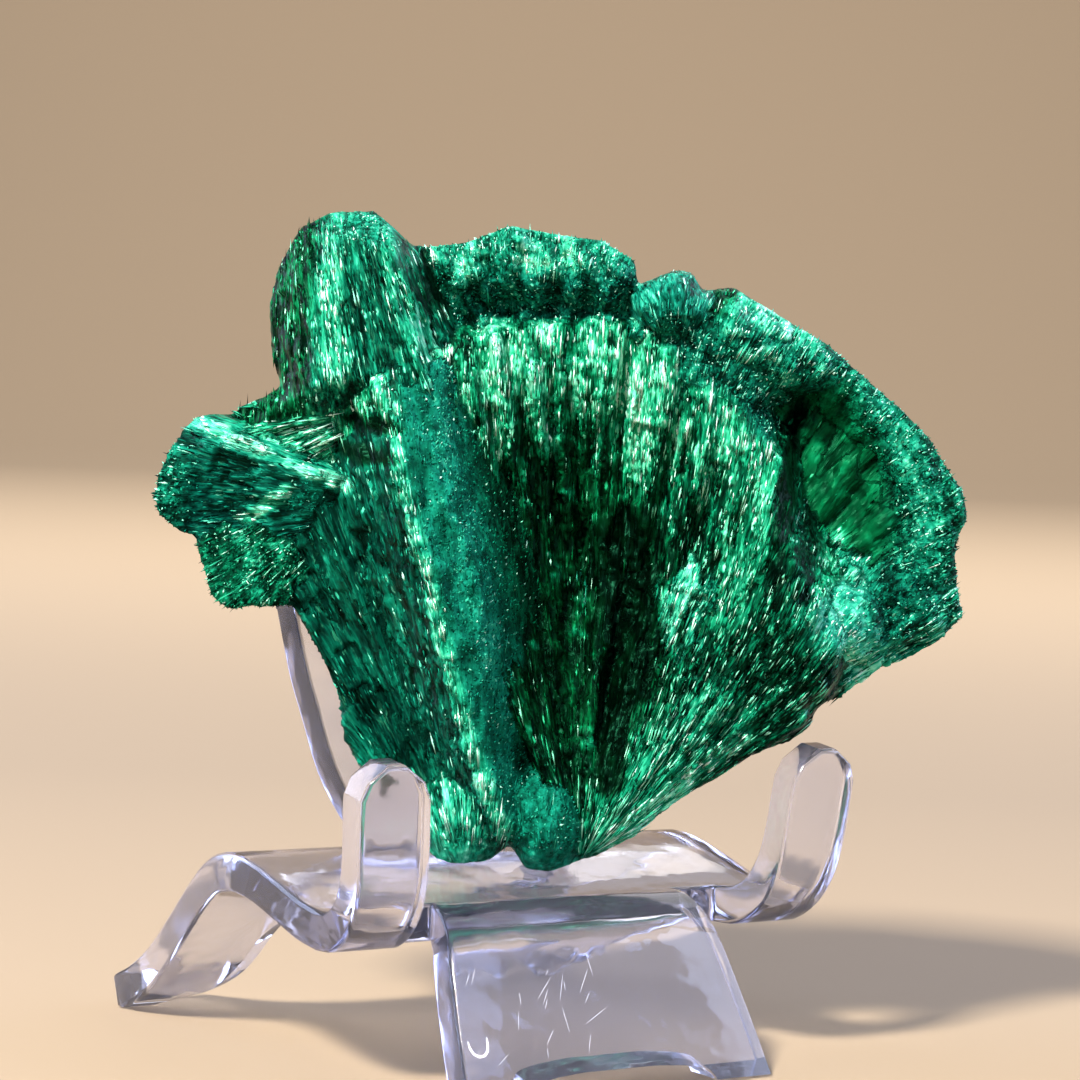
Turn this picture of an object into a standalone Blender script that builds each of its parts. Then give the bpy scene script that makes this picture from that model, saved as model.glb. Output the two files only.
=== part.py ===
"""Malachite specimen of radiating silky fans, standing in a clear moulded easel stand.

Metres, +Z up. The stand faces -Y, its width runs along X and its feet are on Z = 0. The stone is
shaped in a frame of its own, in millimetres: x to its right, y away from its face, z up from its tips.
"""
import math

import bmesh
import bpy
import numpy as np
from mathutils import Matrix, Vector

MM = 0.001
SEED = 4

# Stand, in millimetres
WALL = 2.9
PLATE_HALF = 20.2
HOOK_INNER = 14.5
HOOK_SPLAY = 1.3
LEG_TOP_HALF = 10.6
LEG_FOOT_HALF = 13.2
EDGE_ROUND = 0.7
CORNER_ROUND = 2.7
# Middle of the wall as (y, z), from the rear foot over the peak to the trough
PLATE_LINE = [
    (32.3, 0.9), (28.9, 2.4), (25.4, 4.7), (22.1, 7.7), (19.2, 10.4), (16.7, 12.3), (14.4, 13.1),
    (12.0, 13.2), (9.6, 12.9), (6.5, 12.2), (2.8, 11.3), (0.2, 11.0),
]
HOOK_LINE = [(-2.2, 11.3), (-4.3, 12.7), (-5.6, 14.8), (-6.2, 17.4), (-6.5, 20.2), (-6.9, 23.8)]
LEG_LINE = [(-1.0, 10.9), (-2.5, 10.0), (-3.6, 8.6), (-5.1, 6.0), (-7.0, 2.7), (-9.5, -1.6)]
# Back rest as (half width, distance up its slope)
REST_WIDTHS = [(7.2, -0.6), (7.8, 0.8), (10.1, 4.2), (11.5, 7.8), (12.2, 12.0), (12.8, 16.0), (13.2, 23.4)]
REST_FOOT = (12.3, 13.2)
REST_LEAN = 20.0
# Arched opening of the rear plate as (half width, height)
ARCH_LINE = [(19.0, -3.0), (17.2, 0.2), (14.6, 1.2), (13.0, 2.8), (12.5, 5.0), (12.2, 7.6), (10.6, 9.6), (7.6, 10.4)]
FOOT_ARCH_HALF = 8.0
FOOT_ARCH_RISE = 1.3

# Stone, in millimetres of its own frame
STONE_TURN = -32.5
STONE_AT = (0.5, 6.0, 13.3)
CENTRE = (2.0, 26.5)
OUTLINE = [
    (-19.2, 36.0), (-20.0, 38.5), (-20.3, 41.8), (-19.8, 44.8), (-18.1, 48.0), (-15.9, 49.3),
    (-12.6, 49.5), (-11.2, 48.4), (-9.8, 47.0), (-8.0, 47.0), (-5.3, 47.5), (-2.4, 48.8),
    (1.4, 48.2), (4.6, 47.9), (7.2, 46.4), (7.4, 44.6), (8.2, 45.0), (10.1, 45.9),
    (11.6, 45.6), (12.4, 44.4), (14.6, 44.8), (17.4, 43.2), (22.0, 40.7), (25.1, 38.2),
    (27.8, 36.0), (30.1, 33.9), (31.3, 32.0), (32.9, 29.8), (33.4, 27.9), (32.6, 26.2),
    (32.5, 24.5), (33.2, 20.2), (31.8, 18.7), (29.0, 16.9), (26.7, 16.0), (24.4, 14.0),
    (22.3, 13.2), (21.8, 11.6), (20.1, 10.5), (17.9, 9.5), (15.0, 7.6), (12.0, 5.9),
    (9.8, 4.0), (8.3, 2.8), (6.1, 1.5), (4.6, 1.0), (2.4, 0.2), (0.5, 0.3), (-0.7, 2.2),
    (-2.2, 0.9), (-5.2, 0.2), (-6.4, 0.8), (-7.2, 1.9), (-8.0, 4.5), (-9.9, 6.3), (-11.5, 7.8),
    (-12.7, 9.7), (-13.5, 12.7), (-14.7, 14.3), (-15.9, 16.4), (-17.1, 18.4), (-18.0, 19.7),
    (-19.3, 19.3), (-20.9, 19.6), (-22.4, 19.3), (-23.6, 20.2), (-24.4, 22.5), (-25.2, 24.7),
    (-26.4, 25.1), (-27.5, 26.1), (-28.2, 27.5), (-28.0, 29.2), (-27.0, 31.8), (-25.9, 33.3),
    (-24.6, 33.8), (-23.2, 33.5), (-22.2, 34.4), (-20.4, 35.2),
]
FAN_ROOT = (4.6, 1.2)
# Rim of the central fan as (degrees right of upright, distance from its root)
FAN_RIM = [
    (-26, 38.5), (-22, 39.4), (-16, 39.7), (-8, 40.2), (-2, 40.3), (4, 40.2), (11, 38.8),
    (17, 36.7), (25, 33.0), (32, 28.0), (38, 26.6), (46, 25.8), (54, 22.0), (66, 17.0), (80, 10.0),
]
# Its depth, as (share of the way to the rim, millimetres back)
FAN_DISH = [(0.0, -2.0), (0.15, -0.5), (0.3, 2.2), (0.46, 4.0), (0.62, 4.6), (0.72, 4.0), (0.81, 2.6), (0.89, 1.2),
            (0.95, 1.0), (1.0, 1.8)]
# Degrees from the deepest line of the dish to its left and right walls
FAN_WALLS = (21.0, 31.0)
# Crest of the rib that walls the fan on its left, as (x, z, depth)
RIB = [(-10.6, 38.0, -5.4), (-10.8, 35.5, -7.0), (-10.1, 31.0, -8.4), (-7.9, 24.0, -8.8), (-6.0, 17.0, -8.0),
       (-3.8, 9.0, -6.4), (-1.0, 3.0, -5.0), (0.4, 0.8, -3.4)]
RIB_FALL_LEFT = 1.6
RIB_FACE_WIDTH = 3.7
RIB_FACE_FALL = 0.45
RIB_FALL_RIGHT = 2.0
SHEAF_TOP_LEFT = (-21.5, 74.0)
NOTCH_ROOT = (-10.0, 35.0)
# Facets as (x, z, depth there, fall to the right, fall upwards)
TOP_LEFT_FACETS = [(-14.0, 43.0, -5.6, 0.10, 0.06), (-16.6, 43.0, -5.6, -1.0, 0.03), (-9.8, 43.0, -5.0, 2.5, 0.8),
                   (-14.0, 47.4, -5.2, 0.1, 1.4), (-14.0, 36.4, -5.4, 0.0, -1.6)]
TIP_FACETS = [(-19.0, 31.0, -2.8, 0.95, 2.5), (-19.0, 31.0, -2.8, -0.16, -0.42), (-22.6, 29.5, -2.4, -0.55, -0.12),
              (-25.4, 30.0, -1.6, -1.3, 0.2), (-16.0, 27.4, -1.8, 0.6, -0.9)]
PETAL_RIM = [(22.6, 39.4, 1.8, 2.0), (28.6, 34.2, 1.5, 2.4), (31.6, 28.0, 1.5, 2.4), (30.6, 21.6, 1.8, 3.0)]
BACK_BULGE = 10.5
# Height of the stone's underside over the sloping plate, as (height, gain along x, gain along y)
RESTING = (0.62, -0.121, 0.19)
STONE_VOXEL = 0.45
STONE_TRIANGLES = 7600


def new_material(name, color, roughness, alpha=1.0):
    material = bpy.data.materials.new(name)
    material.use_nodes = True
    shader = material.node_tree.nodes["Principled BSDF"]
    shader.inputs["Base Color"].default_value = (*color, 1.0)
    shader.inputs["Roughness"].default_value = roughness
    shader.inputs["Alpha"].default_value = alpha
    material.diffuse_color = (*color, alpha)
    return material


def add_object(name, mesh, collection, material=None):
    made = bpy.data.objects.new(name, mesh)
    collection.objects.link(made)
    if material:
        mesh.materials.append(material)
    return made


def select_only(chosen):
    bpy.ops.object.select_all(action="DESELECT")
    chosen.select_set(True)
    bpy.context.view_layer.objects.active = chosen


def apply_modifiers(chosen):
    select_only(chosen)
    for modifier in list(chosen.modifiers):
        bpy.ops.object.modifier_apply(modifier=modifier.name)


def keep_largest_piece(chosen):
    """Drops the small loose shells that a remesh can leave inside or beside the body."""
    select_only(chosen)
    bpy.ops.object.mode_set(mode="EDIT")
    bpy.ops.mesh.select_all(action="SELECT")
    bpy.ops.mesh.separate(type="LOOSE")
    bpy.ops.object.mode_set(mode="OBJECT")
    pieces = list(bpy.context.selected_objects)
    largest = max(pieces, key=lambda piece: len(piece.data.vertices))
    largest.data, chosen.data = chosen.data, largest.data
    for piece in pieces:
        if piece is not chosen:
            bpy.data.objects.remove(piece)


def cut_or_join(chosen, other, operation):
    boolean = chosen.modifiers.new(other.name, "BOOLEAN")
    boolean.operation = operation
    boolean.solver = "EXACT"
    boolean.object = other
    apply_modifiers(chosen)


def add_cutter(name, mesh):
    cutter = add_object(name, mesh, cutters)
    cutter.hide_render = True
    cutter.display_type = "WIRE"
    return cutter


# Clear stand
def sheet_rows(bm, line, columns):
    """Rows of vertices that follow a side line, one vertex for each function of the place along it."""
    rows = []
    for index, (y, z) in enumerate(line):
        share = index / (len(line) - 1)
        rows.append([bm.verts.new((column(share) * MM, y * MM, z * MM)) for column in columns])
    return rows


def bridge_rows(bm, rows):
    for near, far in zip(rows, rows[1:]):
        for a, b, c, d in zip(near, near[1:], far[1:], far):
            bm.faces.new((a, b, c, d))


def round_corners(bm, corners, offset, segments):
    bmesh.ops.bevel(bm, geom=corners, offset=offset * MM, offset_type="OFFSET", segments=segments,
                    profile=0.5, affect="VERTICES", clamp_overlap=True)


def finish_sheet(bm, name, material, collection):
    """A closed wall of even thickness with rounded edges, from a sheet of faces."""
    bmesh.ops.recalc_face_normals(bm, faces=bm.faces)
    mesh = bpy.data.meshes.new(name)
    bm.to_mesh(mesh)
    bm.free()
    made = add_object(name, mesh, collection, material)
    wall = made.modifiers.new("wall", "SOLIDIFY")
    wall.thickness = WALL * MM
    wall.offset = 0.0
    wall.use_even_offset = True
    rounding = made.modifiers.new("rounded edges", "BEVEL")
    rounding.width = EDGE_ROUND * MM
    rounding.segments = 2
    rounding.limit_method = "ANGLE"
    rounding.angle_limit = math.radians(50)
    apply_modifiers(made)
    return made


def side_column(x):
    return lambda share: x


def build_stand(material, collection):
    bm = bmesh.new()
    hook_mid = (PLATE_HALF + HOOK_INNER) / 2
    across = [-PLATE_HALF, -hook_mid, -HOOK_INNER, -LEG_TOP_HALF, -LEG_TOP_HALF / 2, 0.0,
              LEG_TOP_HALF / 2, LEG_TOP_HALF, HOOK_INNER, hook_mid, PLATE_HALF]
    plate = sheet_rows(bm, PLATE_LINE, [side_column(x) for x in across])
    bridge_rows(bm, plate)
    tips = []
    for first, side in ((0, -1), (8, 1)):
        hook_across = across[first:first + 3]
        hook = sheet_rows(bm, HOOK_LINE, [
            lambda share, x=x, side=side: x + side * HOOK_SPLAY * share for x in hook_across])
        bridge_rows(bm, [plate[-1][first:first + 3]] + hook)
        tips += [hook[-1][0], hook[-1][-1]]
    leg_across = across[3:8]
    leg = sheet_rows(bm, LEG_LINE, [
        lambda share, x=x: x * (1 + (LEG_FOOT_HALF / LEG_TOP_HALF - 1) * share ** 1.3) for x in leg_across])
    bridge_rows(bm, [plate[-1][3:8]] + leg)
    round_corners(bm, tips, CORNER_ROUND, 5)
    stand = finish_sheet(bm, "display_stand", material, collection)

    bm = bmesh.new()
    lean = math.radians(REST_LEAN)
    line = [(REST_FOOT[0] + up * math.sin(lean), REST_FOOT[1] + up * math.cos(lean)) for _, up in REST_WIDTHS]
    halves = [half for half, _ in REST_WIDTHS]

    def rest_column(part):
        return lambda share: part * float(np.interp(share * (len(halves) - 1), range(len(halves)), halves))

    rest = sheet_rows(bm, line, [rest_column(part) for part in (-1.0, -0.5, 0.0, 0.5, 1.0)])
    bridge_rows(bm, rest)
    round_corners(bm, [rest[-1][0], rest[-1][-1]], 5.0, 6)
    back_rest = finish_sheet(bm, "back_rest", material, collection)
    cut_or_join(stand, back_rest, "UNION")
    bpy.data.objects.remove(back_rest)

    for name, outline, near, far in (
        ("arch_cutter", ARCH_LINE, 40.0, 15.2),
        ("foot_arch_cutter", [(FOOT_ARCH_HALF, -3.0), (FOOT_ARCH_HALF, 0.2), (FOOT_ARCH_HALF * 0.8, 1.0),
                              (FOOT_ARCH_HALF * 0.4, FOOT_ARCH_RISE)], -1.0, -16.0),
    ):
        bm = bmesh.new()
        points = outline + [(-half, height) for half, height in reversed(outline)]
        profile = bm.faces.new([bm.verts.new((x * MM, near * MM, z * MM)) for x, z in points])
        swept = bmesh.ops.extrude_face_region(bm, geom=[profile])["geom"]
        bmesh.ops.translate(bm, vec=(0.0, (far - near) * MM, 0.0),
                            verts=[part for part in swept if isinstance(part, bmesh.types.BMVert)])
        bmesh.ops.recalc_face_normals(bm, faces=bm.faces)
        mesh = bpy.data.meshes.new(name)
        bm.to_mesh(mesh)
        bm.free()
        cut_or_join(stand, add_cutter(name, mesh), "DIFFERENCE")

    bm = bmesh.new()
    bmesh.ops.create_cube(bm, size=1.0, matrix=Matrix.Translation((0, 0, -10 * MM)) @ Matrix.Diagonal(
        (120 * MM, 120 * MM, 20 * MM, 1)))
    mesh = bpy.data.meshes.new("floor_cutter")
    bm.to_mesh(mesh)
    bm.free()
    cut_or_join(stand, add_cutter("floor_cutter", mesh), "DIFFERENCE")
    return stand


# Stone
def waves(u, v, seed, count=7, spread=1.0):
    """Smooth seeded ripples between about -1 and 1, of period near 1 along u and longer along v."""
    random = np.random.default_rng(SEED * 100 + seed)
    total = np.zeros_like(u)
    for _ in range(count):
        rate = random.uniform(0.55, 1.7)
        drift = random.uniform(-0.35, 0.35) * spread
        total += np.sin(2 * np.pi * (rate * u + drift * v + random.uniform()))
    return total / math.sqrt(count)


def crags(x, z, size, seed):
    """Rough relief between about -1 and 1, of lumps a size across with finer lumps on them."""
    total = np.zeros_like(x)
    for octave in range(4):
        turn = 0.9 * octave
        along = (x * math.cos(turn) + z * math.sin(turn)) * 2 ** octave / size
        across = (z * math.cos(turn) - x * math.sin(turn)) * 2 ** octave / size
        total += 0.6 ** octave * waves(along, across, seed + 60 * octave, spread=2.5)
    return total / 1.6


def from_root(x, z, root):
    dx, dz = x - root[0], z - root[1]
    return np.hypot(dx, dz), np.degrees(np.arctan2(dx, dz))


def beside_rib(x, z):
    """Millimetres right of the crest of the rib, and the depth of the crest there."""
    crest = np.array(RIB)[::-1]
    return x - np.interp(z, crest[:, 1], crest[:, 0]), np.interp(z, crest[:, 1], crest[:, 2])


def rib_depth(x, z):
    """Sharp crest that drops to the lower left face and slopes gently into the fan."""
    aside, crest = beside_rib(x, z)
    depth = crest + np.where(aside > 0, RIB_FACE_FALL, -RIB_FALL_LEFT) * aside
    face = RIB_FACE_WIDTH * np.clip(z / 22.0, 0.35, 1.0)
    depth += RIB_FALL_RIGHT * np.maximum(aside - face, 0) + 0.35 * crags(x, z, 3.4, 15)
    return depth + np.maximum(z - 38.0, 0) * 3.0


def ridge_depth(x, z, ridge):
    """Depth of a raised ridge that runs through points given as (x, z, depth, half width)."""
    best = np.full_like(x, 99.0)
    for (x0, z0, y0, w0), (x1, z1, y1, w1) in zip(ridge, ridge[1:]):
        run, rise = x1 - x0, z1 - z0
        t = np.clip(((x - x0) * run + (z - z0) * rise) / (run * run + rise * rise), 0, 1)
        away = np.hypot(x - x0 - t * run, z - z0 - t * rise)
        half = w0 + (w1 - w0) * t
        depth = y0 + (y1 - y0) * t + half * 0.8 * (away / half) ** 1.6
        best = np.minimum(best, depth)
    return best


def facets(x, z, planes):
    """Depth of a form cut by flat facets, each given as (x, z, depth, fall to the right, fall upwards)."""
    return np.max([depth + right * (x - at_x) + up * (z - at_z) for at_x, at_z, depth, right, up in planes], axis=0)


def lobe_depth(x, z, at, size, front, height):
    """Depth of a rounded lobe that stands out by its height and falls away at its edge."""
    away = np.hypot((x - at[0]) / size[0], (z - at[1]) / size[1])
    return front + height * away ** 2.2 + np.maximum(away - 1.0, 0) * 12


def fan_depth(x, z):
    reach, angle = from_root(x, z, FAN_ROOT)
    rim = np.interp(angle, *zip(*FAN_RIM))
    share = reach / rim
    depth = np.interp(share + 0.025 * waves(angle / 4.0, reach / 9.0, 19), *zip(*FAN_DISH))
    wall = np.where(angle < -1.0, (-1.0 - angle) / FAN_WALLS[0], (angle + 1.0) / FAN_WALLS[1])
    height = np.where(angle < -1.0, 6.4, 4.6)
    depth -= height * np.clip(wall, 0, 1.15) ** 2.2 * np.clip(share * 2.2, 0, 1)
    depth += 2.2 * np.exp(-((angle + 3.0) / 5.5) ** 2) * np.exp(-((share - 0.5) / 0.24) ** 2)
    depth += 0.55 * waves(angle / 5.0, reach / 16.0, 1) * np.clip(share * 1.6, 0, 1)
    inside = np.clip(share * 4 - 0.8, 0, 1) * np.clip((0.84 - share) * 8, 0, 1)
    depth += 0.9 * np.abs(waves(angle / 3.4, reach / 9.0, 17, spread=1.6)) * inside
    slot = np.hypot((angle - 8.0 - 0.12 * (reach - 14.0)) / 2.6, (reach - 14.0) / 9.0)
    depth += 2.6 * np.clip(1.3 - slot, 0, 1)
    depth += np.maximum(share - 1.0, 0) * rim * 2.6
    depth += np.maximum(-angle - 24.0, 0) * 0.8 + np.maximum(angle - 62.0, 0) * 0.12
    return depth


def panel_depth(x, z):
    """Slanting lower left face, which falls back towards the outline."""
    reach, angle = from_root(x, z, (-2.5, -3.0))
    depth = -3.6 + 0.2 * np.maximum(-angle - 8.0, 0) - 0.03 * z
    depth += 0.45 * waves(angle / 6.0, reach / 14.0, 2)
    aside, crest = beside_rib(x, z)
    return depth + np.maximum(z - 29.0, 0) * 0.9 + np.maximum(aside + 1.0, 0) * 4


def top_left_depth(x, z):
    """Sheaf at the top left: a broad hollow facet between a crease on its left and a sharp right edge."""
    reach, angle = from_root(x, z, SHEAF_TOP_LEFT)
    depth = facets(x, z, TOP_LEFT_FACETS)
    depth += 0.9 * np.exp(-((x + 12.8 + 0.2 * (z - 42.0)) / 1.9) ** 2)
    return depth + 0.35 * waves(angle / 9.0, reach / 10.0, 3) + 0.3 * crags(x, z, 3.0, 18)


def notch_depth(x, z):
    reach, angle = from_root(x, z, NOTCH_ROOT)
    away = np.hypot((x + 16.0) / 5.6, (z - 33.2) / 3.4)
    depth = -1.5 + 1.8 * away ** 2 + 0.5 * waves(angle / 8.0, reach / 9.0, 4)
    for at in ((-12.0, 33.6), (-12.4, 31.4)):
        slot = np.hypot((x - at[0]) / 2.2, (z - at[1] - 0.15 * (at[0] - x)) / 0.7)
        depth += 2.2 * np.clip(1.4 - slot, 0, 1)
    return depth


def ledge_depth(x, z):
    """Brow along the top middle, with a recess under it above the rim of the fan."""
    brow = 46.6 - 0.06 * np.abs(x) ** 1.2 + 0.8 * waves(x / 8.0, z / 30.0, 11)
    depth = 0.4 + 0.09 * (z - brow) ** 2 + 1.8 * np.exp(-((z - 42.6) / 1.4) ** 2)
    depth += 1.1 * crags(x, z, 4.6, 5)
    return depth + np.maximum(np.abs(x - 0.5) - 8.2, 0) * 1.4 + np.maximum(40.0 - z, 0) * 1.5


def petal_depth(x, z):
    """Smooth hollow of the right petal between the fan and its mottled rim."""
    reach, angle = from_root(x, z, (8.0, 10.0))
    depth = 5.2 - 0.03 * np.maximum(x - 21.0, 0) ** 2 + 1.5 * np.exp(-((x - 19.4) / 1.1) ** 2)
    depth += np.maximum(17.5 - x, 0) * 3
    return depth + 0.35 * waves(angle / 7.0, reach / 15.0, 6) + 0.12 * crags(x, z, 3.0, 19)


def crumbs_depth(x, z):
    """Broken lower right edge of short bundles."""
    reach, angle = from_root(x, z, FAN_ROOT)
    depth = 1.4 + 0.5 * waves(angle / 4.0, reach / 5.0, 7, spread=2.0) + 0.7 * crags(x, z, 3.4, 20)
    return depth + np.maximum(z - 22.0, 0) * 1.2 + np.maximum(13.0 - x, 0) * 0.7


def face_layers(x, z):
    return [
        fan_depth(x, z),
        rib_depth(x, z),
        panel_depth(x, z),
        top_left_depth(x, z),
        notch_depth(x, z),
        facets(x, z, TIP_FACETS) + 0.25 * crags(x, z, 3.0, 23),
        lobe_depth(x, z, (-21.0, 22.6), (4.4, 3.8), -1.4, 2.2) + 0.5 * crags(x, z, 3.2, 24),
        ledge_depth(x, z),
        lobe_depth(x, z, (10.3, 43.6), (3.0, 2.6), -1.8, 1.8) + 0.25 * crags(x, z, 2.6, 25),
        lobe_depth(x, z, (13.8, 38.8), (5.2, 3.6), 0.2, 1.8) + 0.5 * crags(x, z, 3.4, 16),
        lobe_depth(x, z, (15.2, 41.6), (4.4, 3.0), -1.0, 1.8) + 0.4 * crags(x, z, 3.8, 12),
        lobe_depth(x, z, (19.8, 39.8), (4.6, 2.6), 0.0, 2.2) + 0.5 * crags(x, z, 4.2, 13),
        petal_depth(x, z),
        ridge_depth(x, z, PETAL_RIM) + 0.35 * crags(x, z, 4.0, 21),
        lobe_depth(x, z, (23.4, 19.6), (3.2, 2.8), -2.6, 1.8) + 0.4 * crags(x, z, 2.8, 22),
        crumbs_depth(x, z),
        lobe_depth(x, z, (-4.0, 3.4), (3.4, 4.6), -4.4, 2.0) + 0.3 * crags(x, z, 2.6, 26),
        lobe_depth(x, z, (1.4, 3.2), (2.8, 3.8), -4.9, 1.8) + 0.3 * crags(x, z, 2.6, 27),
    ]


def back_depth(x, z, share):
    """Rounded back, flattened where it leans on the back rest of the stand."""
    root = (2.0, -14.0)
    reach, angle = from_root(x, z, root)
    bulge = BACK_BULGE * np.sqrt(np.clip(1 - share ** 2.4, 0, 1)) + 0.35 * waves(angle / 6.0, reach / 12.0, 8)
    bulge += 0.9 * waves(x / 13.0, z / 11.0, 14, spread=2.5) + 0.45 * crags(x, z, 5.0, 28)
    leaning = 3.7 + 0.432 * z + 0.638 * x
    return np.minimum(2.5 + bulge, leaning - 0.5 * np.abs(waves(x / 9.0, z / 7.0, 9, spread=2.0)))


def outline_reach(angle):
    """Distance from the centre of the face to its outline, for an angle in radians."""
    corners = np.array(OUTLINE) - CENTRE
    turns = np.mod(np.arctan2(corners[:, 1], corners[:, 0]), 2 * np.pi)
    order = np.argsort(turns)
    turns, corners = turns[order], corners[order]
    near = np.mod(angle, 2 * np.pi)
    x = np.interp(near, turns, corners[:, 0], period=2 * np.pi)
    z = np.interp(near, turns, corners[:, 1], period=2 * np.pi)
    return x, z


def shape_stone(points):
    """Moves the points of a unit ball to the surface of the stone, in millimetres of its frame."""
    flat = np.hypot(points[:, 0], points[:, 2])
    share = 2 / np.pi * np.arcsin(np.clip(flat, 0, 1))
    edge_x, edge_z = outline_reach(np.arctan2(points[:, 2], points[:, 0]))
    x = CENTRE[0] + share * edge_x
    z = CENTRE[1] + share * edge_z
    front = np.min(face_layers(x, z), axis=0)
    leaning = 3.0 + 0.432 * z + 0.638 * x
    edge = np.minimum(2.0 + 0.05 * edge_x - np.clip(1 - z / 12.0, 0, 1) * 3.0, leaning)
    back = back_depth(x, z, share)
    front = np.minimum(front, back - 1.5)
    round_off = np.sqrt(np.clip(1 - share ** 14, 0, 1))
    y = np.where(points[:, 1] < 0, edge + (front - edge) * round_off, edge + (back - edge) * round_off)
    z = np.maximum(z, RESTING[0] + RESTING[1] * x + RESTING[2] * y)
    return np.column_stack((x, y, z))


def build_stone(material, collection):
    bm = bmesh.new()
    bmesh.ops.create_icosphere(bm, subdivisions=7, radius=1.0)
    mesh = bpy.data.meshes.new("malachite")
    bm.to_mesh(mesh)
    bm.free()
    stone = add_object("malachite", mesh, collection, material)
    points = np.empty(len(mesh.vertices) * 3)
    mesh.vertices.foreach_get("co", points)
    shaped = shape_stone(points.reshape(-1, 3)) * MM
    mesh.vertices.foreach_set("co", shaped.ravel())
    mesh.update()
    remesh = stone.modifiers.new("even skin", "REMESH")
    remesh.mode = "VOXEL"
    remesh.voxel_size = STONE_VOXEL * MM
    apply_modifiers(stone)
    keep_largest_piece(stone)
    faces = sum(len(polygon.vertices) - 2 for polygon in stone.data.polygons)
    fewer = stone.modifiers.new("fewer faces", "DECIMATE")
    fewer.ratio = STONE_TRIANGLES / faces
    apply_modifiers(stone)
    stone.data.transform(Matrix.Translation(Vector(STONE_AT) * MM) @ Matrix.Rotation(
        math.radians(STONE_TURN), 4, "Z"))
    return stone


def centre_over_floor(pieces):
    """Moves the pieces together so that the middle of their common box is over the origin."""
    corners = [vertex.co for piece in pieces for vertex in piece.data.vertices]
    middle = [(min(axis) + max(axis)) / 2 for axis in list(zip(*corners))[:2]]
    for piece in pieces:
        piece.data.transform(Matrix.Translation((-middle[0], -middle[1], 0.0)))


for leftover in list(bpy.data.objects):
    bpy.data.objects.remove(leftover)
malachite_specimen = bpy.data.collections.new("malachite_on_stand")
cutters = bpy.data.collections.new("cutters")
for made_collection in (malachite_specimen, cutters):
    bpy.context.scene.collection.children.link(made_collection)

silky_malachite = new_material("silky_malachite", (0.01, 0.16, 0.07), 0.45)
clear_plastic = new_material("clear_plastic", (0.86, 0.87, 0.93), 0.06, alpha=0.35)
stand_object = build_stand(clear_plastic, malachite_specimen)
stone_object = build_stone(silky_malachite, malachite_specimen)
centre_over_floor([stand_object, stone_object])
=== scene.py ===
"""Looks of a silky malachite specimen on a clear easel stand.

The stone is shaped in a frame of its own, in millimetres: x to its right, y away from its face and z up
from its tips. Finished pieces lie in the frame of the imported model, in metres, with +Z up.
"""
import math

import bmesh
import bpy
import numpy as np
from mathutils import Matrix, Vector


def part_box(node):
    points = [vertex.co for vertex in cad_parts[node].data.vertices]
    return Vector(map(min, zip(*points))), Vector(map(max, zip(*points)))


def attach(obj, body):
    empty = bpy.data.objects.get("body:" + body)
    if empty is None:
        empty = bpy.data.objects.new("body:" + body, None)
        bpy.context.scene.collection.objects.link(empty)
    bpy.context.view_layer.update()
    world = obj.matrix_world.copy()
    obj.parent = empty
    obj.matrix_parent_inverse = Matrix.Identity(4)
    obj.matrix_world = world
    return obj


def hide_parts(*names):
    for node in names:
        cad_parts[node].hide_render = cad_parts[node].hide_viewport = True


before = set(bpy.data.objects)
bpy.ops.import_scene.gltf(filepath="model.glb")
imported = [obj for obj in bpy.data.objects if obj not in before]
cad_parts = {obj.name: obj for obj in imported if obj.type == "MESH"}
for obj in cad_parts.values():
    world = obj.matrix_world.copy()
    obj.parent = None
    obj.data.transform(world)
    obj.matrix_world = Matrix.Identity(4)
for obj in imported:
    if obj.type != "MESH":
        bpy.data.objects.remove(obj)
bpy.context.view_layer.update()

MM = 0.001
SEED = 4
STAND_LOW, STAND_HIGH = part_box("display_stand")

# Stand, in millimetres
WALL = 2.9
PLATE_HALF = 20.2
HOOK_INNER = 14.5
HOOK_SPLAY = 1.3
LEG_TOP_HALF = 10.6
LEG_FOOT_HALF = 13.2
EDGE_ROUND = 0.7
# Middle of the wall as (y, z), from the rear foot over the peak to the trough
PLATE_LINE = [
    (32.3, 0.9), (28.9, 2.4), (25.4, 4.7), (22.1, 7.7), (19.2, 10.4), (16.7, 12.3), (14.4, 13.1),
    (12.0, 13.2), (9.6, 12.9), (6.5, 12.2), (2.8, 11.3), (0.2, 11.0),
]
HOOK_LINE = [(-2.2, 11.3), (-4.3, 12.7), (-5.6, 14.8), (-6.2, 17.4), (-6.5, 20.2), (-6.9, 23.8)]
LEG_LINE = [(-1.0, 10.9), (-2.5, 10.0), (-3.6, 8.6), (-5.1, 6.0), (-7.0, 2.7), (-9.5, -1.6)]
# Back rest as (half width, distance up its slope)
REST_WIDTHS = [(7.2, -0.6), (7.8, 0.8), (10.1, 4.2), (11.5, 7.8), (12.2, 12.0), (12.8, 16.0), (13.2, 23.4)]
REST_FOOT = (12.3, 13.2)
REST_LEAN = 20.0
# Arched opening of the rear plate as (half width, height)
ARCH_LINE = [(19.0, -3.0), (17.2, 0.2), (14.6, 1.2), (13.0, 2.8), (12.5, 5.0), (12.2, 7.6), (10.6, 9.6), (7.6, 10.4)]
FOOT_ARCH_HALF = 8.0
FOOT_ARCH_RISE = 1.3
# The curl on the front leg, as (x, z)
MOULD_CURL = [(-14.85, 3.95), (-14.8, 3.45), (-14.6, 3.1), (-14.2, 2.9), (-13.75, 2.95), (-13.45, 3.2), (-13.3, 3.6),
              (-13.25, 4.1)]

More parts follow.
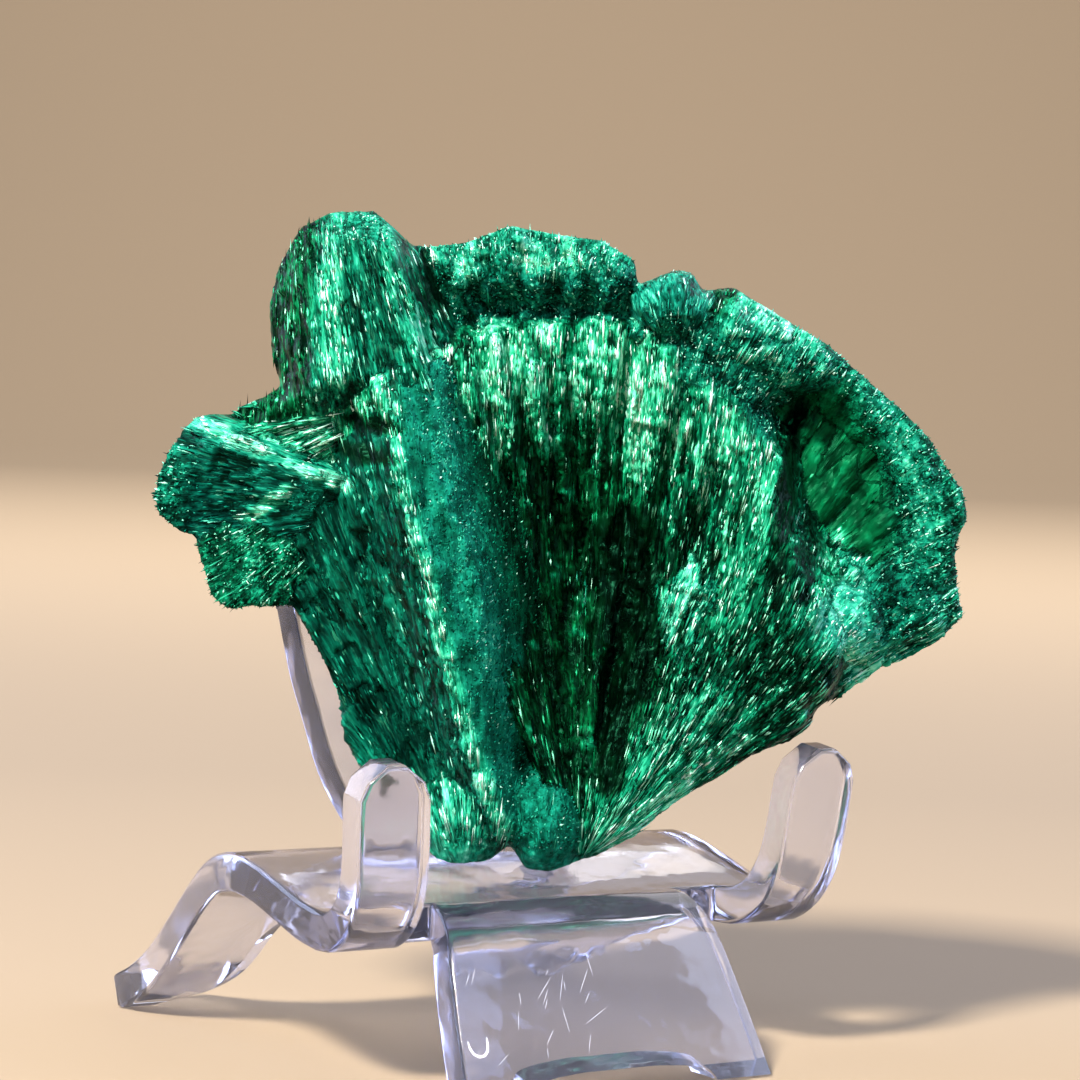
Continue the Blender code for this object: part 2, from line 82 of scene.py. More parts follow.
# Stone, in millimetres of its own frame
STONE_TURN = -32.5
STONE_AT = (0.5, 6.0, 13.3)
CENTRE = (2.0, 26.5)
OUTLINE = [
    (-19.2, 36.0), (-20.0, 38.5), (-20.3, 41.8), (-19.8, 44.8), (-18.1, 48.0), (-15.9, 49.3),
    (-12.6, 49.5), (-11.2, 48.4), (-9.8, 47.0), (-8.0, 47.0), (-5.3, 47.5), (-2.4, 48.8),
    (1.4, 48.2), (4.6, 47.9), (7.2, 46.4), (7.4, 44.6), (8.2, 45.0), (10.1, 45.9),
    (11.6, 45.6), (12.4, 44.4), (14.6, 44.8), (17.4, 43.2), (22.0, 40.7), (25.1, 38.2),
    (27.8, 36.0), (30.1, 33.9), (31.3, 32.0), (32.9, 29.8), (33.4, 27.9), (32.6, 26.2),
    (32.5, 24.5), (33.2, 20.2), (31.8, 18.7), (29.0, 16.9), (26.7, 16.0), (24.4, 14.0),
    (22.3, 13.2), (21.8, 11.6), (20.1, 10.5), (17.9, 9.5), (15.0, 7.6), (12.0, 5.9),
    (9.8, 4.0), (8.3, 2.8), (6.1, 1.5), (4.6, 1.0), (2.4, 0.2), (0.5, 0.3), (-0.7, 2.2),
    (-2.2, 0.9), (-5.2, 0.2), (-6.4, 0.8), (-7.2, 1.9), (-8.3, 4.2), (-10.4, 5.9), (-12.1, 7.5),
    (-13.3, 9.5), (-14.1, 12.6), (-14.7, 14.3), (-15.9, 16.4), (-17.1, 18.4), (-18.0, 19.7),
    (-19.3, 19.3), (-20.9, 19.6), (-22.4, 19.3), (-23.6, 20.2), (-24.4, 22.5), (-25.2, 24.7),
    (-26.4, 25.1), (-27.5, 26.1), (-28.2, 27.5), (-28.0, 29.2), (-27.0, 31.8), (-25.9, 33.3),
    (-24.6, 33.8), (-23.2, 33.5), (-22.2, 34.4), (-20.4, 35.2),
]
FAN_ROOT = (4.6, 1.2)
# Rim of the central fan as (degrees right of upright, distance from its root)
FAN_RIM = [
    (-26, 38.5), (-22, 39.4), (-16, 39.7), (-8, 40.2), (-2, 40.3), (4, 40.2), (11, 38.8),
    (17, 36.7), (25, 33.0), (32, 28.0), (38, 26.6), (46, 25.8), (54, 22.0), (66, 17.0), (80, 10.0),
]
# Its depth, as (share of the way to the rim, millimetres back)
FAN_DISH = [(0.0, -2.0), (0.15, -0.5), (0.3, 2.2), (0.46, 4.0), (0.62, 4.6), (0.72, 4.0), (0.81, 2.6), (0.89, 1.2),
            (0.95, 1.0), (1.0, 1.8)]
# Degrees from the deepest line of the dish to its left and right walls
FAN_WALLS = (21.0, 31.0)
# Crest of the rib that walls the fan on its left, as (x, z, depth)
RIB = [(-10.6, 38.0, -5.4), (-10.8, 35.5, -7.0), (-10.1, 31.0, -8.4), (-7.9, 24.0, -8.8), (-6.0, 17.0, -8.0),
       (-3.8, 9.0, -6.4), (-1.0, 3.0, -5.0), (0.4, 0.8, -3.4)]
RIB_FALL_LEFT = 1.6
RIB_FACE_WIDTH = 3.7
RIB_FACE_FALL = 0.45
RIB_FALL_RIGHT = 2.0
SHEAF_TOP_LEFT = (-21.5, 74.0)
NOTCH_ROOT = (-10.0, 35.0)
# Facets as (x, z, depth there, fall to the right, fall upwards)
TOP_LEFT_FACETS = [(-14.0, 43.0, -5.6, 0.10, 0.06), (-15.4, 43.0, -5.6, -1.0, 0.03), (-9.8, 43.0, -5.0, 2.5, 0.8),
                   (-14.0, 47.4, -5.2, 0.1, 1.4), (-14.0, 36.4, -5.4, 0.0, -1.6)]
TIP_FACETS = [(-19.0, 31.0, -2.8, 0.95, 2.5), (-19.0, 31.0, -2.8, -0.16, -0.42), (-22.6, 29.5, -2.4, -0.55, -0.12),
              (-25.4, 30.0, -1.6, -1.3, 0.2), (-16.0, 27.4, -1.8, 0.6, -0.9)]
PETAL_RIM = [(22.6, 39.4, 1.8, 2.0), (28.6, 34.2, 1.5, 2.4), (31.6, 28.0, 1.5, 2.4), (30.6, 21.6, 1.8, 3.0)]
BACK_BULGE = 10.5
# Height of the stone's underside over the sloping plate, as (height, gain along x, gain along y)
RESTING = (0.62, -0.121, 0.19)
STONE_VOXEL = 0.27
STONE_PLACE = Matrix.Translation((Vector(STONE_AT) + Vector((
    (STAND_LOW.x + STAND_HIGH.x) / 2 / MM, STAND_LOW.y / MM + 10.25, 0.0))) * MM) @ Matrix.Rotation(
    math.radians(STONE_TURN), 4, "Z")

# Camera, in degrees and metres
VIEW_TURN = -32.56
VIEW_RISE = 3.0
VIEW_ROLL = 2.05
VIEW_AWAY = 0.25
VIEW_TARGET = (-2.46, 0.0, 38.82)
SENSOR = 36.0
LENS = 113.67


def linear_colour(code):
    """Linear RGBA of an sRGB hex code."""
    parts = [int(code[place:place + 2], 16) / 255 for place in (1, 3, 5)]
    return tuple(c / 12.92 if c <= 0.04045 else ((c + 0.055) / 1.055) ** 2.4 for c in parts) + (1.0,)


def add_node(tree, kind, links=None, **settings):
    """A shader node with its settings, and with values or sockets put into its inputs."""
    made = tree.nodes.new("ShaderNode" + kind)
    for name, value in settings.items():
        setattr(made, name, value)
    for place, source in (links or {}).items():
        if isinstance(source, bpy.types.NodeSocket):
            tree.links.new(source, made.inputs[place])
        else:
            made.inputs[place].default_value = source
    return made


def select_only(chosen):
    bpy.ops.object.select_all(action="DESELECT")
    chosen.select_set(True)
    bpy.context.view_layer.objects.active = chosen


def apply_modifiers(chosen):
    select_only(chosen)
    for modifier in list(chosen.modifiers):
        bpy.ops.object.modifier_apply(modifier=modifier.name)


def read_points(mesh):
    points = np.empty(len(mesh.vertices) * 3)
    mesh.vertices.foreach_get("co", points)
    return points.reshape(-1, 3)


def write_points(mesh, points):
    mesh.vertices.foreach_set("co", points.ravel())
    mesh.update()


def read_normals(mesh):
    normals = np.empty(len(mesh.vertices) * 3)
    mesh.vertex_normals.foreach_get("vector", normals)
    return normals.reshape(-1, 3)


def write_attribute(mesh, name, values):
    """Stores one number, or one vector, for each vertex."""
    vector = values.ndim == 2
    made = mesh.attributes.new(name, "FLOAT_VECTOR" if vector else "FLOAT", "POINT")
    made.data.foreach_set("vector" if vector else "value", values.ravel())


def keep_largest_piece(chosen):
    """Drops the small loose shells that a remesh can leave inside or beside the body."""
    select_only(chosen)
    bpy.ops.object.mode_set(mode="EDIT")
    bpy.ops.mesh.select_all(action="SELECT")
    bpy.ops.mesh.separate(type="LOOSE")
    bpy.ops.object.mode_set(mode="OBJECT")
    pieces = list(bpy.context.selected_objects)
    largest = max(pieces, key=lambda piece: len(piece.data.vertices))
    largest.data, chosen.data = chosen.data, largest.data
    for piece in pieces:
        if piece is not chosen:
            bpy.data.objects.remove(piece)


# Stone
def waves(u, v, seed, count=7, spread=1.0):
    """Smooth seeded ripples between about -1 and 1, of period near 1 along u and longer along v."""
    random = np.random.default_rng(SEED * 100 + seed)
    total = np.zeros_like(u)
    for _ in range(count):
        rate = random.uniform(0.55, 1.7)
        drift = random.uniform(-0.35, 0.35) * spread
        total += np.sin(2 * np.pi * (rate * u + drift * v + random.uniform()))
    return total / math.sqrt(count)


def crags(x, z, size, seed):
    """Rough relief between about -1 and 1, of lumps a size across with finer lumps on them."""
    total = np.zeros_like(x)
    for octave in range(4):
        turn = 0.9 * octave
        along = (x * math.cos(turn) + z * math.sin(turn)) * 2 ** octave / size
        across = (z * math.cos(turn) - x * math.sin(turn)) * 2 ** octave / size
        total += 0.6 ** octave * waves(along, across, seed + 60 * octave, spread=2.5)
    return total / 1.6


def from_root(x, z, root):
    dx, dz = x - root[0], z - root[1]
    return np.hypot(dx, dz), np.degrees(np.arctan2(dx, dz))


def beside_rib(x, z):
    """Millimetres right of the crest of the rib, and the depth of the crest there."""
    crest = np.array(RIB)[::-1]
    return x - np.interp(z, crest[:, 1], crest[:, 0]), np.interp(z, crest[:, 1], crest[:, 2])


def rib_depth(x, z):
    """Sharp crest that drops to the lower left face and slopes gently into the fan."""
    aside, crest = beside_rib(x, z)
    depth = crest + np.where(aside > 0, RIB_FACE_FALL, -RIB_FALL_LEFT) * aside
    face = RIB_FACE_WIDTH * np.clip(z / 22.0, 0.35, 1.0)
    depth += RIB_FALL_RIGHT * np.maximum(aside - face, 0) + 0.35 * crags(x, z, 3.4, 15)
    return depth + np.maximum(z - 38.0, 0) * 3.0


def ridge_depth(x, z, ridge):
    """Depth of a raised ridge that runs through points given as (x, z, depth, half width)."""
    best = np.full_like(x, 99.0)
    for (x0, z0, y0, w0), (x1, z1, y1, w1) in zip(ridge, ridge[1:]):
        run, rise = x1 - x0, z1 - z0
        t = np.clip(((x - x0) * run + (z - z0) * rise) / (run * run + rise * rise), 0, 1)
        away = np.hypot(x - x0 - t * run, z - z0 - t * rise)
        half = w0 + (w1 - w0) * t
        depth = y0 + (y1 - y0) * t + half * 0.8 * (away / half) ** 1.6
        best = np.minimum(best, depth)
    return best


def facets(x, z, planes):
    """Depth of a form cut by flat facets, each given as (x, z, depth, fall to the right, fall upwards)."""
    return np.max([depth + right * (x - at_x) + up * (z - at_z) for at_x, at_z, depth, right, up in planes], axis=0)


def lobe_depth(x, z, at, size, front, height):
    """Depth of a rounded lobe that stands out by its height and falls away at its edge."""
    away = np.hypot((x - at[0]) / size[0], (z - at[1]) / size[1])
    return front + height * away ** 2.2 + np.maximum(away - 1.0, 0) * 12


def fan_depth(x, z):
    reach, angle = from_root(x, z, FAN_ROOT)
    rim = np.interp(angle, *zip(*FAN_RIM))
    share = reach / rim
    depth = np.interp(share + 0.025 * waves(angle / 4.0, reach / 9.0, 19), *zip(*FAN_DISH))
    wall = np.where(angle < -1.0, (-1.0 - angle) / FAN_WALLS[0], (angle + 1.0) / FAN_WALLS[1])
    height = np.where(angle < -1.0, 6.4, 4.6)
    depth -= height * np.clip(wall, 0, 1.15) ** 2.2 * np.clip(share * 2.2, 0, 1)
    depth += 2.2 * np.exp(-((angle + 3.0) / 5.5) ** 2) * np.exp(-((share - 0.5) / 0.24) ** 2)
    depth += 0.55 * waves(angle / 5.0, reach / 16.0, 1) * np.clip(share * 1.6, 0, 1)
    inside = np.clip(share * 4 - 0.8, 0, 1) * np.clip((0.84 - share) * 8, 0, 1)
    depth += 0.9 * np.abs(waves(angle / 3.4, reach / 9.0, 17, spread=1.6)) * inside
    slot = np.hypot((angle - 8.0 - 0.12 * (reach - 14.0)) / 2.6, (reach - 14.0) / 9.0)
    depth += 2.6 * np.clip(1.3 - slot, 0, 1)
    depth += np.maximum(share - 1.0, 0) * rim * 2.6
    depth += np.maximum(-angle - 24.0, 0) * 0.8 + np.maximum(angle - 62.0, 0) * 0.12
    return depth


def panel_depth(x, z):
    """Slanting lower left face, which falls back towards the outline."""
    reach, angle = from_root(x, z, (-2.5, -3.0))
    depth = -3.6 + 0.2 * np.maximum(-angle - 8.0, 0) - 0.03 * z
    depth += 0.45 * waves(angle / 6.0, reach / 14.0, 2)
    aside, crest = beside_rib(x, z)
    return depth + np.maximum(z - 29.0, 0) * 0.9 + np.maximum(aside + 1.0, 0) * 4


def top_left_depth(x, z):
    """Sheaf at the top left: a broad hollow facet between a crease on its left and a sharp right edge."""
    reach, angle = from_root(x, z, SHEAF_TOP_LEFT)
    depth = facets(x, z, TOP_LEFT_FACETS)
    depth += 0.9 * np.exp(-((x + 12.8 + 0.2 * (z - 42.0)) / 1.9) ** 2)
    return depth + 0.35 * waves(angle / 9.0, reach / 10.0, 3) + 0.3 * crags(x, z, 3.0, 18)


def notch_depth(x, z):
    reach, angle = from_root(x, z, NOTCH_ROOT)
    away = np.hypot((x + 16.0) / 5.6, (z - 33.2) / 3.4)
    depth = -1.5 + 1.8 * away ** 2 + 0.5 * waves(angle / 8.0, reach / 9.0, 4)
    for at in ((-12.0, 33.6), (-12.4, 31.4)):
        slot = np.hypot((x - at[0]) / 2.2, (z - at[1] - 0.15 * (at[0] - x)) / 0.7)
        depth += 2.2 * np.clip(1.4 - slot, 0, 1)
    return depth


def ledge_depth(x, z):
    """Brow along the top middle, with a recess under it above the rim of the fan."""
    brow = 46.6 - 0.06 * np.abs(x) ** 1.2 + 0.8 * waves(x / 8.0, z / 30.0, 11)
    depth = 0.4 + 0.09 * (z - brow) ** 2 + 1.8 * np.exp(-((z - 42.6) / 1.4) ** 2)
    depth += 1.1 * crags(x, z, 4.6, 5)
    return depth + np.maximum(np.abs(x - 0.5) - 8.2, 0) * 1.4 + np.maximum(40.0 - z, 0) * 1.5


def petal_depth(x, z):
    """Smooth hollow of the right petal between the fan and its mottled rim."""
    reach, angle = from_root(x, z, (8.0, 10.0))
    depth = 5.2 - 0.03 * np.maximum(x - 21.0, 0) ** 2 + 1.5 * np.exp(-((x - 19.4) / 1.1) ** 2)
    depth += np.maximum(17.5 - x, 0) * 3
    return depth + 0.35 * waves(angle / 7.0, reach / 15.0, 6) + 0.12 * crags(x, z, 3.0, 19)


def crumbs_depth(x, z):
    """Broken lower right edge of short bundles."""
    reach, angle = from_root(x, z, FAN_ROOT)
    depth = 1.4 + 0.5 * waves(angle / 4.0, reach / 5.0, 7, spread=2.0) + 0.7 * crags(x, z, 3.4, 20)
    return depth + np.maximum(z - 22.0, 0) * 1.2 + np.maximum(13.0 - x, 0) * 0.7


def face_layers(x, z):
    return [
        fan_depth(x, z),
        rib_depth(x, z),
        panel_depth(x, z),
        top_left_depth(x, z),
        notch_depth(x, z),
        facets(x, z, TIP_FACETS) + 0.25 * crags(x, z, 3.0, 23),
        lobe_depth(x, z, (-21.0, 22.6), (4.4, 3.8), -1.4, 2.2) + 0.5 * crags(x, z, 3.2, 24),
        ledge_depth(x, z),
        lobe_depth(x, z, (10.3, 43.6), (3.0, 2.6), -1.8, 1.8) + 0.25 * crags(x, z, 2.6, 25),
        lobe_depth(x, z, (13.8, 38.8), (5.2, 3.6), 0.2, 1.8) + 0.5 * crags(x, z, 3.4, 16),
        lobe_depth(x, z, (15.2, 41.6), (4.4, 3.0), -1.0, 1.8) + 0.4 * crags(x, z, 3.8, 12),
        lobe_depth(x, z, (19.8, 39.8), (4.6, 2.6), 0.0, 2.2) + 0.5 * crags(x, z, 4.2, 13),
        petal_depth(x, z),
        ridge_depth(x, z, PETAL_RIM) + 0.35 * crags(x, z, 4.0, 21),
        lobe_depth(x, z, (23.4, 19.6), (3.2, 2.8), -2.6, 1.8) + 0.4 * crags(x, z, 2.8, 22),
        crumbs_depth(x, z),
        lobe_depth(x, z, (-4.0, 3.4), (3.4, 4.6), -4.4, 2.0) + 0.3 * crags(x, z, 2.6, 26),
        lobe_depth(x, z, (1.4, 3.2), (2.8, 3.8), -4.9, 1.8) + 0.3 * crags(x, z, 2.6, 27),
    ]


def back_depth(x, z, share):
    """Rounded back, flattened where it leans on the back rest of the stand."""
    root = (2.0, -14.0)
    reach, angle = from_root(x, z, root)
    bulge = BACK_BULGE * np.sqrt(np.clip(1 - share ** 2.4, 0, 1)) + 0.35 * waves(angle / 6.0, reach / 12.0, 8)
    bulge += 0.9 * waves(x / 13.0, z / 11.0, 14, spread=2.5) + 0.45 * crags(x, z, 5.0, 28)
    leaning = 3.7 + 0.432 * z + 0.638 * x
    return np.minimum(2.5 + bulge, leaning - 0.5 * np.abs(waves(x / 9.0, z / 7.0, 9, spread=2.0)))


def outline_reach(angle):
    """Distance from the centre of the face to its outline, for an angle in radians."""
    corners = np.array(OUTLINE) - CENTRE
    turns = np.mod(np.arctan2(corners[:, 1], corners[:, 0]), 2 * np.pi)
    order = np.argsort(turns)
    turns, corners = turns[order], corners[order]
    near = np.mod(angle, 2 * np.pi)
    x = np.interp(near, turns, corners[:, 0], period=2 * np.pi)
    z = np.interp(near, turns, corners[:, 1], period=2 * np.pi)
    return x, z


def shape_stone(points):
    """Moves the points of a unit ball to the surface of the stone, in millimetres of its frame."""
    flat = np.hypot(points[:, 0], points[:, 2])
    share = 2 / np.pi * np.arcsin(np.clip(flat, 0, 1))
    edge_x, edge_z = outline_reach(np.arctan2(points[:, 2], points[:, 0]))
    x = CENTRE[0] + share * edge_x
    z = CENTRE[1] + share * edge_z
    front = np.min(face_layers(x, z), axis=0)
    leaning = 3.0 + 0.432 * z + 0.638 * x
    edge = np.minimum(2.0 + 0.05 * edge_x - np.clip(1 - z / 12.0, 0, 1) * 3.0, leaning)
    back = back_depth(x, z, share)
    front = np.minimum(front, back - 1.5)
    round_off = np.sqrt(np.clip(1 - share ** 14, 0, 1))
    y = np.where(points[:, 1] < 0, edge + (front - edge) * round_off, edge + (back - edge) * round_off)
    z = np.maximum(z, RESTING[0] + RESTING[1] * x + RESTING[2] * y)
    return np.column_stack((x, y, z))


# Roots of the sheaves, one for each layer of the face in the order of face_layers, then the back
SHEAF_ROOTS = [
    FAN_ROOT, (-2.5, -3.0), (-2.5, -3.0), SHEAF_TOP_LEFT, NOTCH_ROOT, (-8.0, 27.5), (-9.0, 32.0), (0.0, 20.0),
    (10.3, 36.0), (10.0, 26.0), (9.0, 28.0), (12.0, 26.0), (8.0, 10.0), (10.0, 16.0), (16.0, 12.0), FAN_ROOT,
    (-3.6, -4.0), (1.8, -4.0), (2.0, -14.0),
]
# Height over which the fibres of the fan turn from its root to nearly upright
FAN_TURN = 17.0
FAN, RIB_FACE, PANEL, TOP_LEFT, NOTCH, TIP, LOWER_LEFT, LEDGE, TEAL_LOBE, SHOULDER, DOME, BROW, HOLLOW, PETAL, MINT, \
    CRUMBS, LEFT_FOOT, MIDDLE_FOOT, BACK = range(len(SHEAF_ROOTS))


def spot(x, z, at, size, turn=0.0):
    """One inside a soft-edged ellipse, falling to zero outside it."""
    tilt = math.radians(turn)
    dx, dz = x - at[0], z - at[1]
    along = (dx * math.cos(tilt) + dz * math.sin(tilt)) / size[0]
    across = (dz * math.cos(tilt) - dx * math.sin(tilt)) / size[1]
    return np.clip(1.6 - 1.2 * np.hypot(along, across), 0, 1)


def stroke(x, z, line, half_width):
    """One along a line of points given as (x, z), falling to zero a little beyond the half width."""
    away = np.full_like(x, 99.0)
    for (x0, z0), (x1, z1) in zip(line, line[1:]):
        run, rise = x1 - x0, z1 - z0
        t = np.clip(((x - x0) * run + (z - z0) * rise) / (run * run + rise * rise), 0, 1)
        away = np.minimum(away, np.hypot(x - x0 - t * run, z - z0 - t * rise))
    return np.clip(1.5 - away / half_width, 0, 1)


def sheaf_layers(points):
    """Which layer of the stone each point belongs to."""
    x, y, z = points.T
    layers = np.array(face_layers(x, z))
    front = np.min(layers, axis=0)
    back = back_depth(x, z, np.zeros_like(x))
    return np.where(y - front > 0.62 * np.maximum(back - front, 3.0), BACK, np.argmin(layers, axis=0))


def fibre_field(points, layer):
    """Millimetres across the fibres, millimetres along them and their lean to the right in radians.

    The fibres of the fan bend upright like a fountain, the others run straight out from the root of their sheaf.
    New fibres start where the old ones have spread to twice their distance.
    """
    x, z = points[:, 0], points[:, 2]
    roots = np.array(SHEAF_ROOTS)[layer]
    dx, dz = x - roots[:, 0], z - roots[:, 1]
    reach, lean = np.hypot(dx, dz), np.arctan2(dx, dz)
    spread = reach
    fountain = (layer == FAN) & (dz > 0.3)
    high = np.maximum(dz, 0.3)
    opened = FAN_TURN * (1 - np.exp(-high / FAN_TURN))
    start = dx / opened
    lean_in_fan = np.arctan(start * np.exp(-high / FAN_TURN))
    turn = np.where(fountain, start, lean)
    spread = np.where(fountain, opened, reach)
    ragged = spread * (1 + 0.10 * waves(turn * 9.0, turn * 0.0, 51))
    steps = np.select([ragged < 3.4, ragged < 6.8, ragged < 13.6, ragged < 27.0], [2.4, 4.8, 9.6, 19.0], 38.0)
    steps = np.where(fountain & (ragged >= 10.0), 13.0, steps)
    return turn * steps, reach, np.where(fountain, lean_in_fan, lean)


def paint_silk(points, layer):
    """Tone of the silk with its painted highlights and shade, how many of its splinters carry a painted glint, its lean
    to teal and its velvet, each from 0 to 1.
    """
    x, _, z = points.T
    reach, angle = from_root(x, z, FAN_ROOT)
    share = reach / np.interp(angle, *zip(*FAN_RIM))
    patches = crags(x, z, 4.5, 71)
    silk = {"level": np.full_like(x, 0.32), "spark": np.full_like(x, 0.5), "teal": np.full_like(x, 0.5),
            "velvet": np.zeros_like(x)}

    def paint(weight, level, spark, teal, velvet=0.0):
        for name, value in zip(silk, (level, spark, teal, velvet)):
            silk[name] += (value - silk[name]) * np.clip(weight, 0, 1)

    # Central fan
    fan = layer == FAN
    ragged = share + 0.05 * waves(x / 1.6, z / 30.0, 74) + 0.03 * waves(x / 0.6, z / 30.0, 75)
    paint(fan, 0.11, 0.7, 0.35)
    paint(fan * np.clip((angle - 20) / 16, 0, 1), 0.12, 0.75, 0.5)
    # Painted shade: the deep middle of the dish is painted darker
    paint(fan * spot(x, z, (3.2, 20.0), (7.0, 16.0), -3), 0.08, 0.25, 0.0)
    # Painted highlight: the band under the rim, where the fibre ends catch the light from above, is painted bright
    paint(fan * np.clip((ragged - 0.72) / 0.16, 0, 1) * np.clip((34 - angle) / 12, 0, 1) * np.clip(0.9 + 0.9 * patches, 0.2, 1), 0.56, 1.0, 0.40)
    paint(fan * stroke(x, z, [(7.0, 39.0), (7.8, 33.0), (8.4, 29.0)], 1.0) * np.clip((z - 27) / 6, 0, 1), 0.58, 1.0, 0.40)
    paint(fan * stroke(x, z, [(11.5, 36.5), (15.5, 31.5), (17.2, 26.0), (14.5, 20.0)], 1.4) * 0.6, 0.42, 1.0, 0.5)
    paint(fan * np.clip(patches - 0.6, 0, 0.6), 0.42, 0.9, 0.6)
    paint(fan * stroke(x, z, [(5.4, 2.4), (9.0, 6.6), (14.5, 12.6)], 2.4) * 0.8, 0.36, 1.0, 0.6)
    paint(fan * spot(x, z, (10.9, 20.2), (0.8, 1.7)), 0.60, 0.8, 0.8, 0.5)
    # Rib and lower left panel
    aside, _ = beside_rib(x, z)
    on_rib = (layer == RIB_FACE) & (aside > 0.2)
    paint(layer == RIB_FACE, 0.20, 0.35, 0.85)
    paint(on_rib, 0.30, 0.15, 0.9, 0.8)
    paint(on_rib * np.clip(0.6 + patches, 0, 1) * np.clip(1.3 - np.abs(aside - 3.6) / 2.0, 0, 1), 0.38, 0.25, 0.95, 1.0)
    paint(on_rib * np.clip((aside - 4.6) / 2.4, 0, 1), 0.14, 0.3, 0.4, 0.4)
    paint(layer == PANEL, 0.19, 0.25, 0.85)
    crest_line = [(-10.6, 37.0), (-9.9, 31.0), (-7.8, 24.0), (-6.0, 17.4), (-3.5, 9.1), (-1.0, 3.4)]
    # Painted highlight: the crest of the rib, and the panel just below it, are painted brighter where the ridge catches
    # the light
    paint((layer == PANEL) * stroke(x, z, crest_line, 2.6) * 0.7, 0.30, 0.8, 0.6)
    paint(stroke(x, z, crest_line, 0.6) * np.clip(0.9 + 0.4 * waves(z / 1.7, x / 9.0, 76), 0, 1), 0.56, 1.0, 0.6)
    # Top left sheaf, and painted shade in the gap beside it
    on_top = layer == TOP_LEFT
    paint(on_top, 0.21, 0.5, 0.75)
    # Painted shade: the left facet of the sheaf, which turns away from the light, is painted darker
    paint(on_top * np.clip(-16.2 - x, 0, 1), 0.15, 0.6, 0.15)
    paint(on_top * stroke(x, z, [(-14.8, 48.4), (-15.4, 44.0), (-14.8, 37.5)], 1.2), 0.48, 1.0, 0.6)
    paint(on_top * stroke(x, z, [(-11.4, 48.0), (-9.8, 42.8), (-7.6, 37.4)], 1.1), 0.40, 1.0, 0.6)
    paint(on_top * spot(x, z, (-12.6, 48.2), (2.6, 1.6)), 0.42, 0.7, 0.8, 0.9)
    # Painted shade in the gap between the sheaf and the ledge
    paint(spot(x, z, (-7.4, 44.4), (1.7, 2.6)), 0.05, 0.3, 0.3)
    # Notch and left tip
    paint(layer == NOTCH, 0.42, 1.0, 0.5)
    # Painted shade: the two slots in the notch are painted nearly black
    paint(spot(x, z, (-12.0, 33.6), (2.2, 0.6), -8) + spot(x, z, (-12.4, 31.3), (2.2, 0.7), -8), 0.01, 0.1, 0.0)
    paint(layer == TIP, 0.22, 0.35, 1.0)
    paint((layer == TIP) * np.clip(z - 31.2 + 0.38 * (x + 19.0), 0, 1), 0.34, 0.8, 0.5)
    paint(stroke(x, z, [(-25.4, 33.2), (-19.0, 31.0), (-13.7, 28.8)], 0.6), 0.55, 1.0, 0.8)
    paint(spot(x, z, (-27.0, 28.0), (1.6, 4.0)), 0.22, 0.7, 0.8, 1.0)
    paint(layer == LOWER_LEFT, 0.22, 0.7, 0.5, 0.8)
    paint((layer == LOWER_LEFT) * np.clip(patches + 0.1, 0, 1), 0.42, 0.9, 0.6, 0.8)
    paint(spot(x, z, (-16.9, 27.8), (2.2, 1.2)), 0.24, 0.2, 0.95, 1.0)
    paint(stroke(x, z, [(-21.2, 26.0), (-18.4, 28.3)], 0.5), 0.55, 1.0, 0.6)
    # Ledge
    on_ledge = layer == LEDGE
    paint(on_ledge, 0.32, 0.7, 0.75, 0.8)
    paint(on_ledge * np.clip(patches * 2.0 + 0.1, 0, 1), 0.58, 1.0, 0.75, 0.7)
    paint(on_ledge * np.clip((46.0 - z) / 3, 0, 1) * 0.3, 0.30, 0.6, 0.9, 0.9)
    paint(on_ledge * stroke(x, z, [(-0.5, 45.6), (3.5, 45.6), (6.0, 44.9)], 0.8) * 0.8, 0.60, 1.0, 0.7, 0.6)
    paint(stroke(x, z, [(-4.6, 43.4), (0.0, 43.6), (6.4, 44.2)], 1.6), 0.23, 0.5, 1.0, 1.0)
    # Upper right lobes and petal
    upper_right = np.isin(layer, (SHOULDER, DOME, BROW))
    paint(upper_right, 0.27, 0.7, 0.8, 0.7)
    paint(layer == TEAL_LOBE, 0.35, 0.6, 1.0)
    paint((layer == DOME) * np.clip((z - 42.2) * 1.5, 0, 1), 0.20, 0.4, 0.3)
    paint(stroke(x, z, [(15.6, 43.2), (19.6, 41.4)], 0.9), 0.66, 0.9, 0.8)
    paint(upper_right * np.clip(patches * 1.6 - 0.1, 0, 1), 0.52, 1.0, 0.75, 0.5)
    paint(stroke(x, z, [(9.8, 41.6), (13.0, 39.2), (16.0, 36.8), (17.4, 34.6)], 1.2), 0.21, 1.0, 0.9, 0.8)
    paint(layer == HOLLOW, 0.22, 0.06, 0.10)
    paint((layer == HOLLOW) * np.clip((x - 25.0) / 3.0, 0, 1), 0.24, 0.7, 0.7, 0.9)
    paint(layer == PETAL, 0.26, 0.6, 0.7, 0.9)
    paint((layer == PETAL) * np.clip(patches * 1.2, 0, 1), 0.38, 0.7, 0.8, 1.0)
    paint(stroke(x, z, [(26.0, 36.5), (29.4, 31.0), (29.8, 24.0)], 0.8) * 0.6, 0.48, 0.8, 0.9, 0.8)
    smooth_face = stroke(x, z, [(21.0, 35.2), (23.6, 31.5), (24.6, 27.0)], 2.6)
    paint(np.isin(layer, (HOLLOW, PETAL)) * smooth_face * 1.3, 0.22, 0.05, 0.15)
    # Painted shadow: the crack between the fan's right rim and the petal, shaded by the rim, is painted nearly black
    paint(spot(x, z, (19.2, 30.0), (0.9, 7.0), -8), 0.01, 0.1, 0.3)
    paint(stroke(x, z, [(22.2, 22.4), (23.4, 25.6)], 1.0), 0.42, 1.0, 0.4)
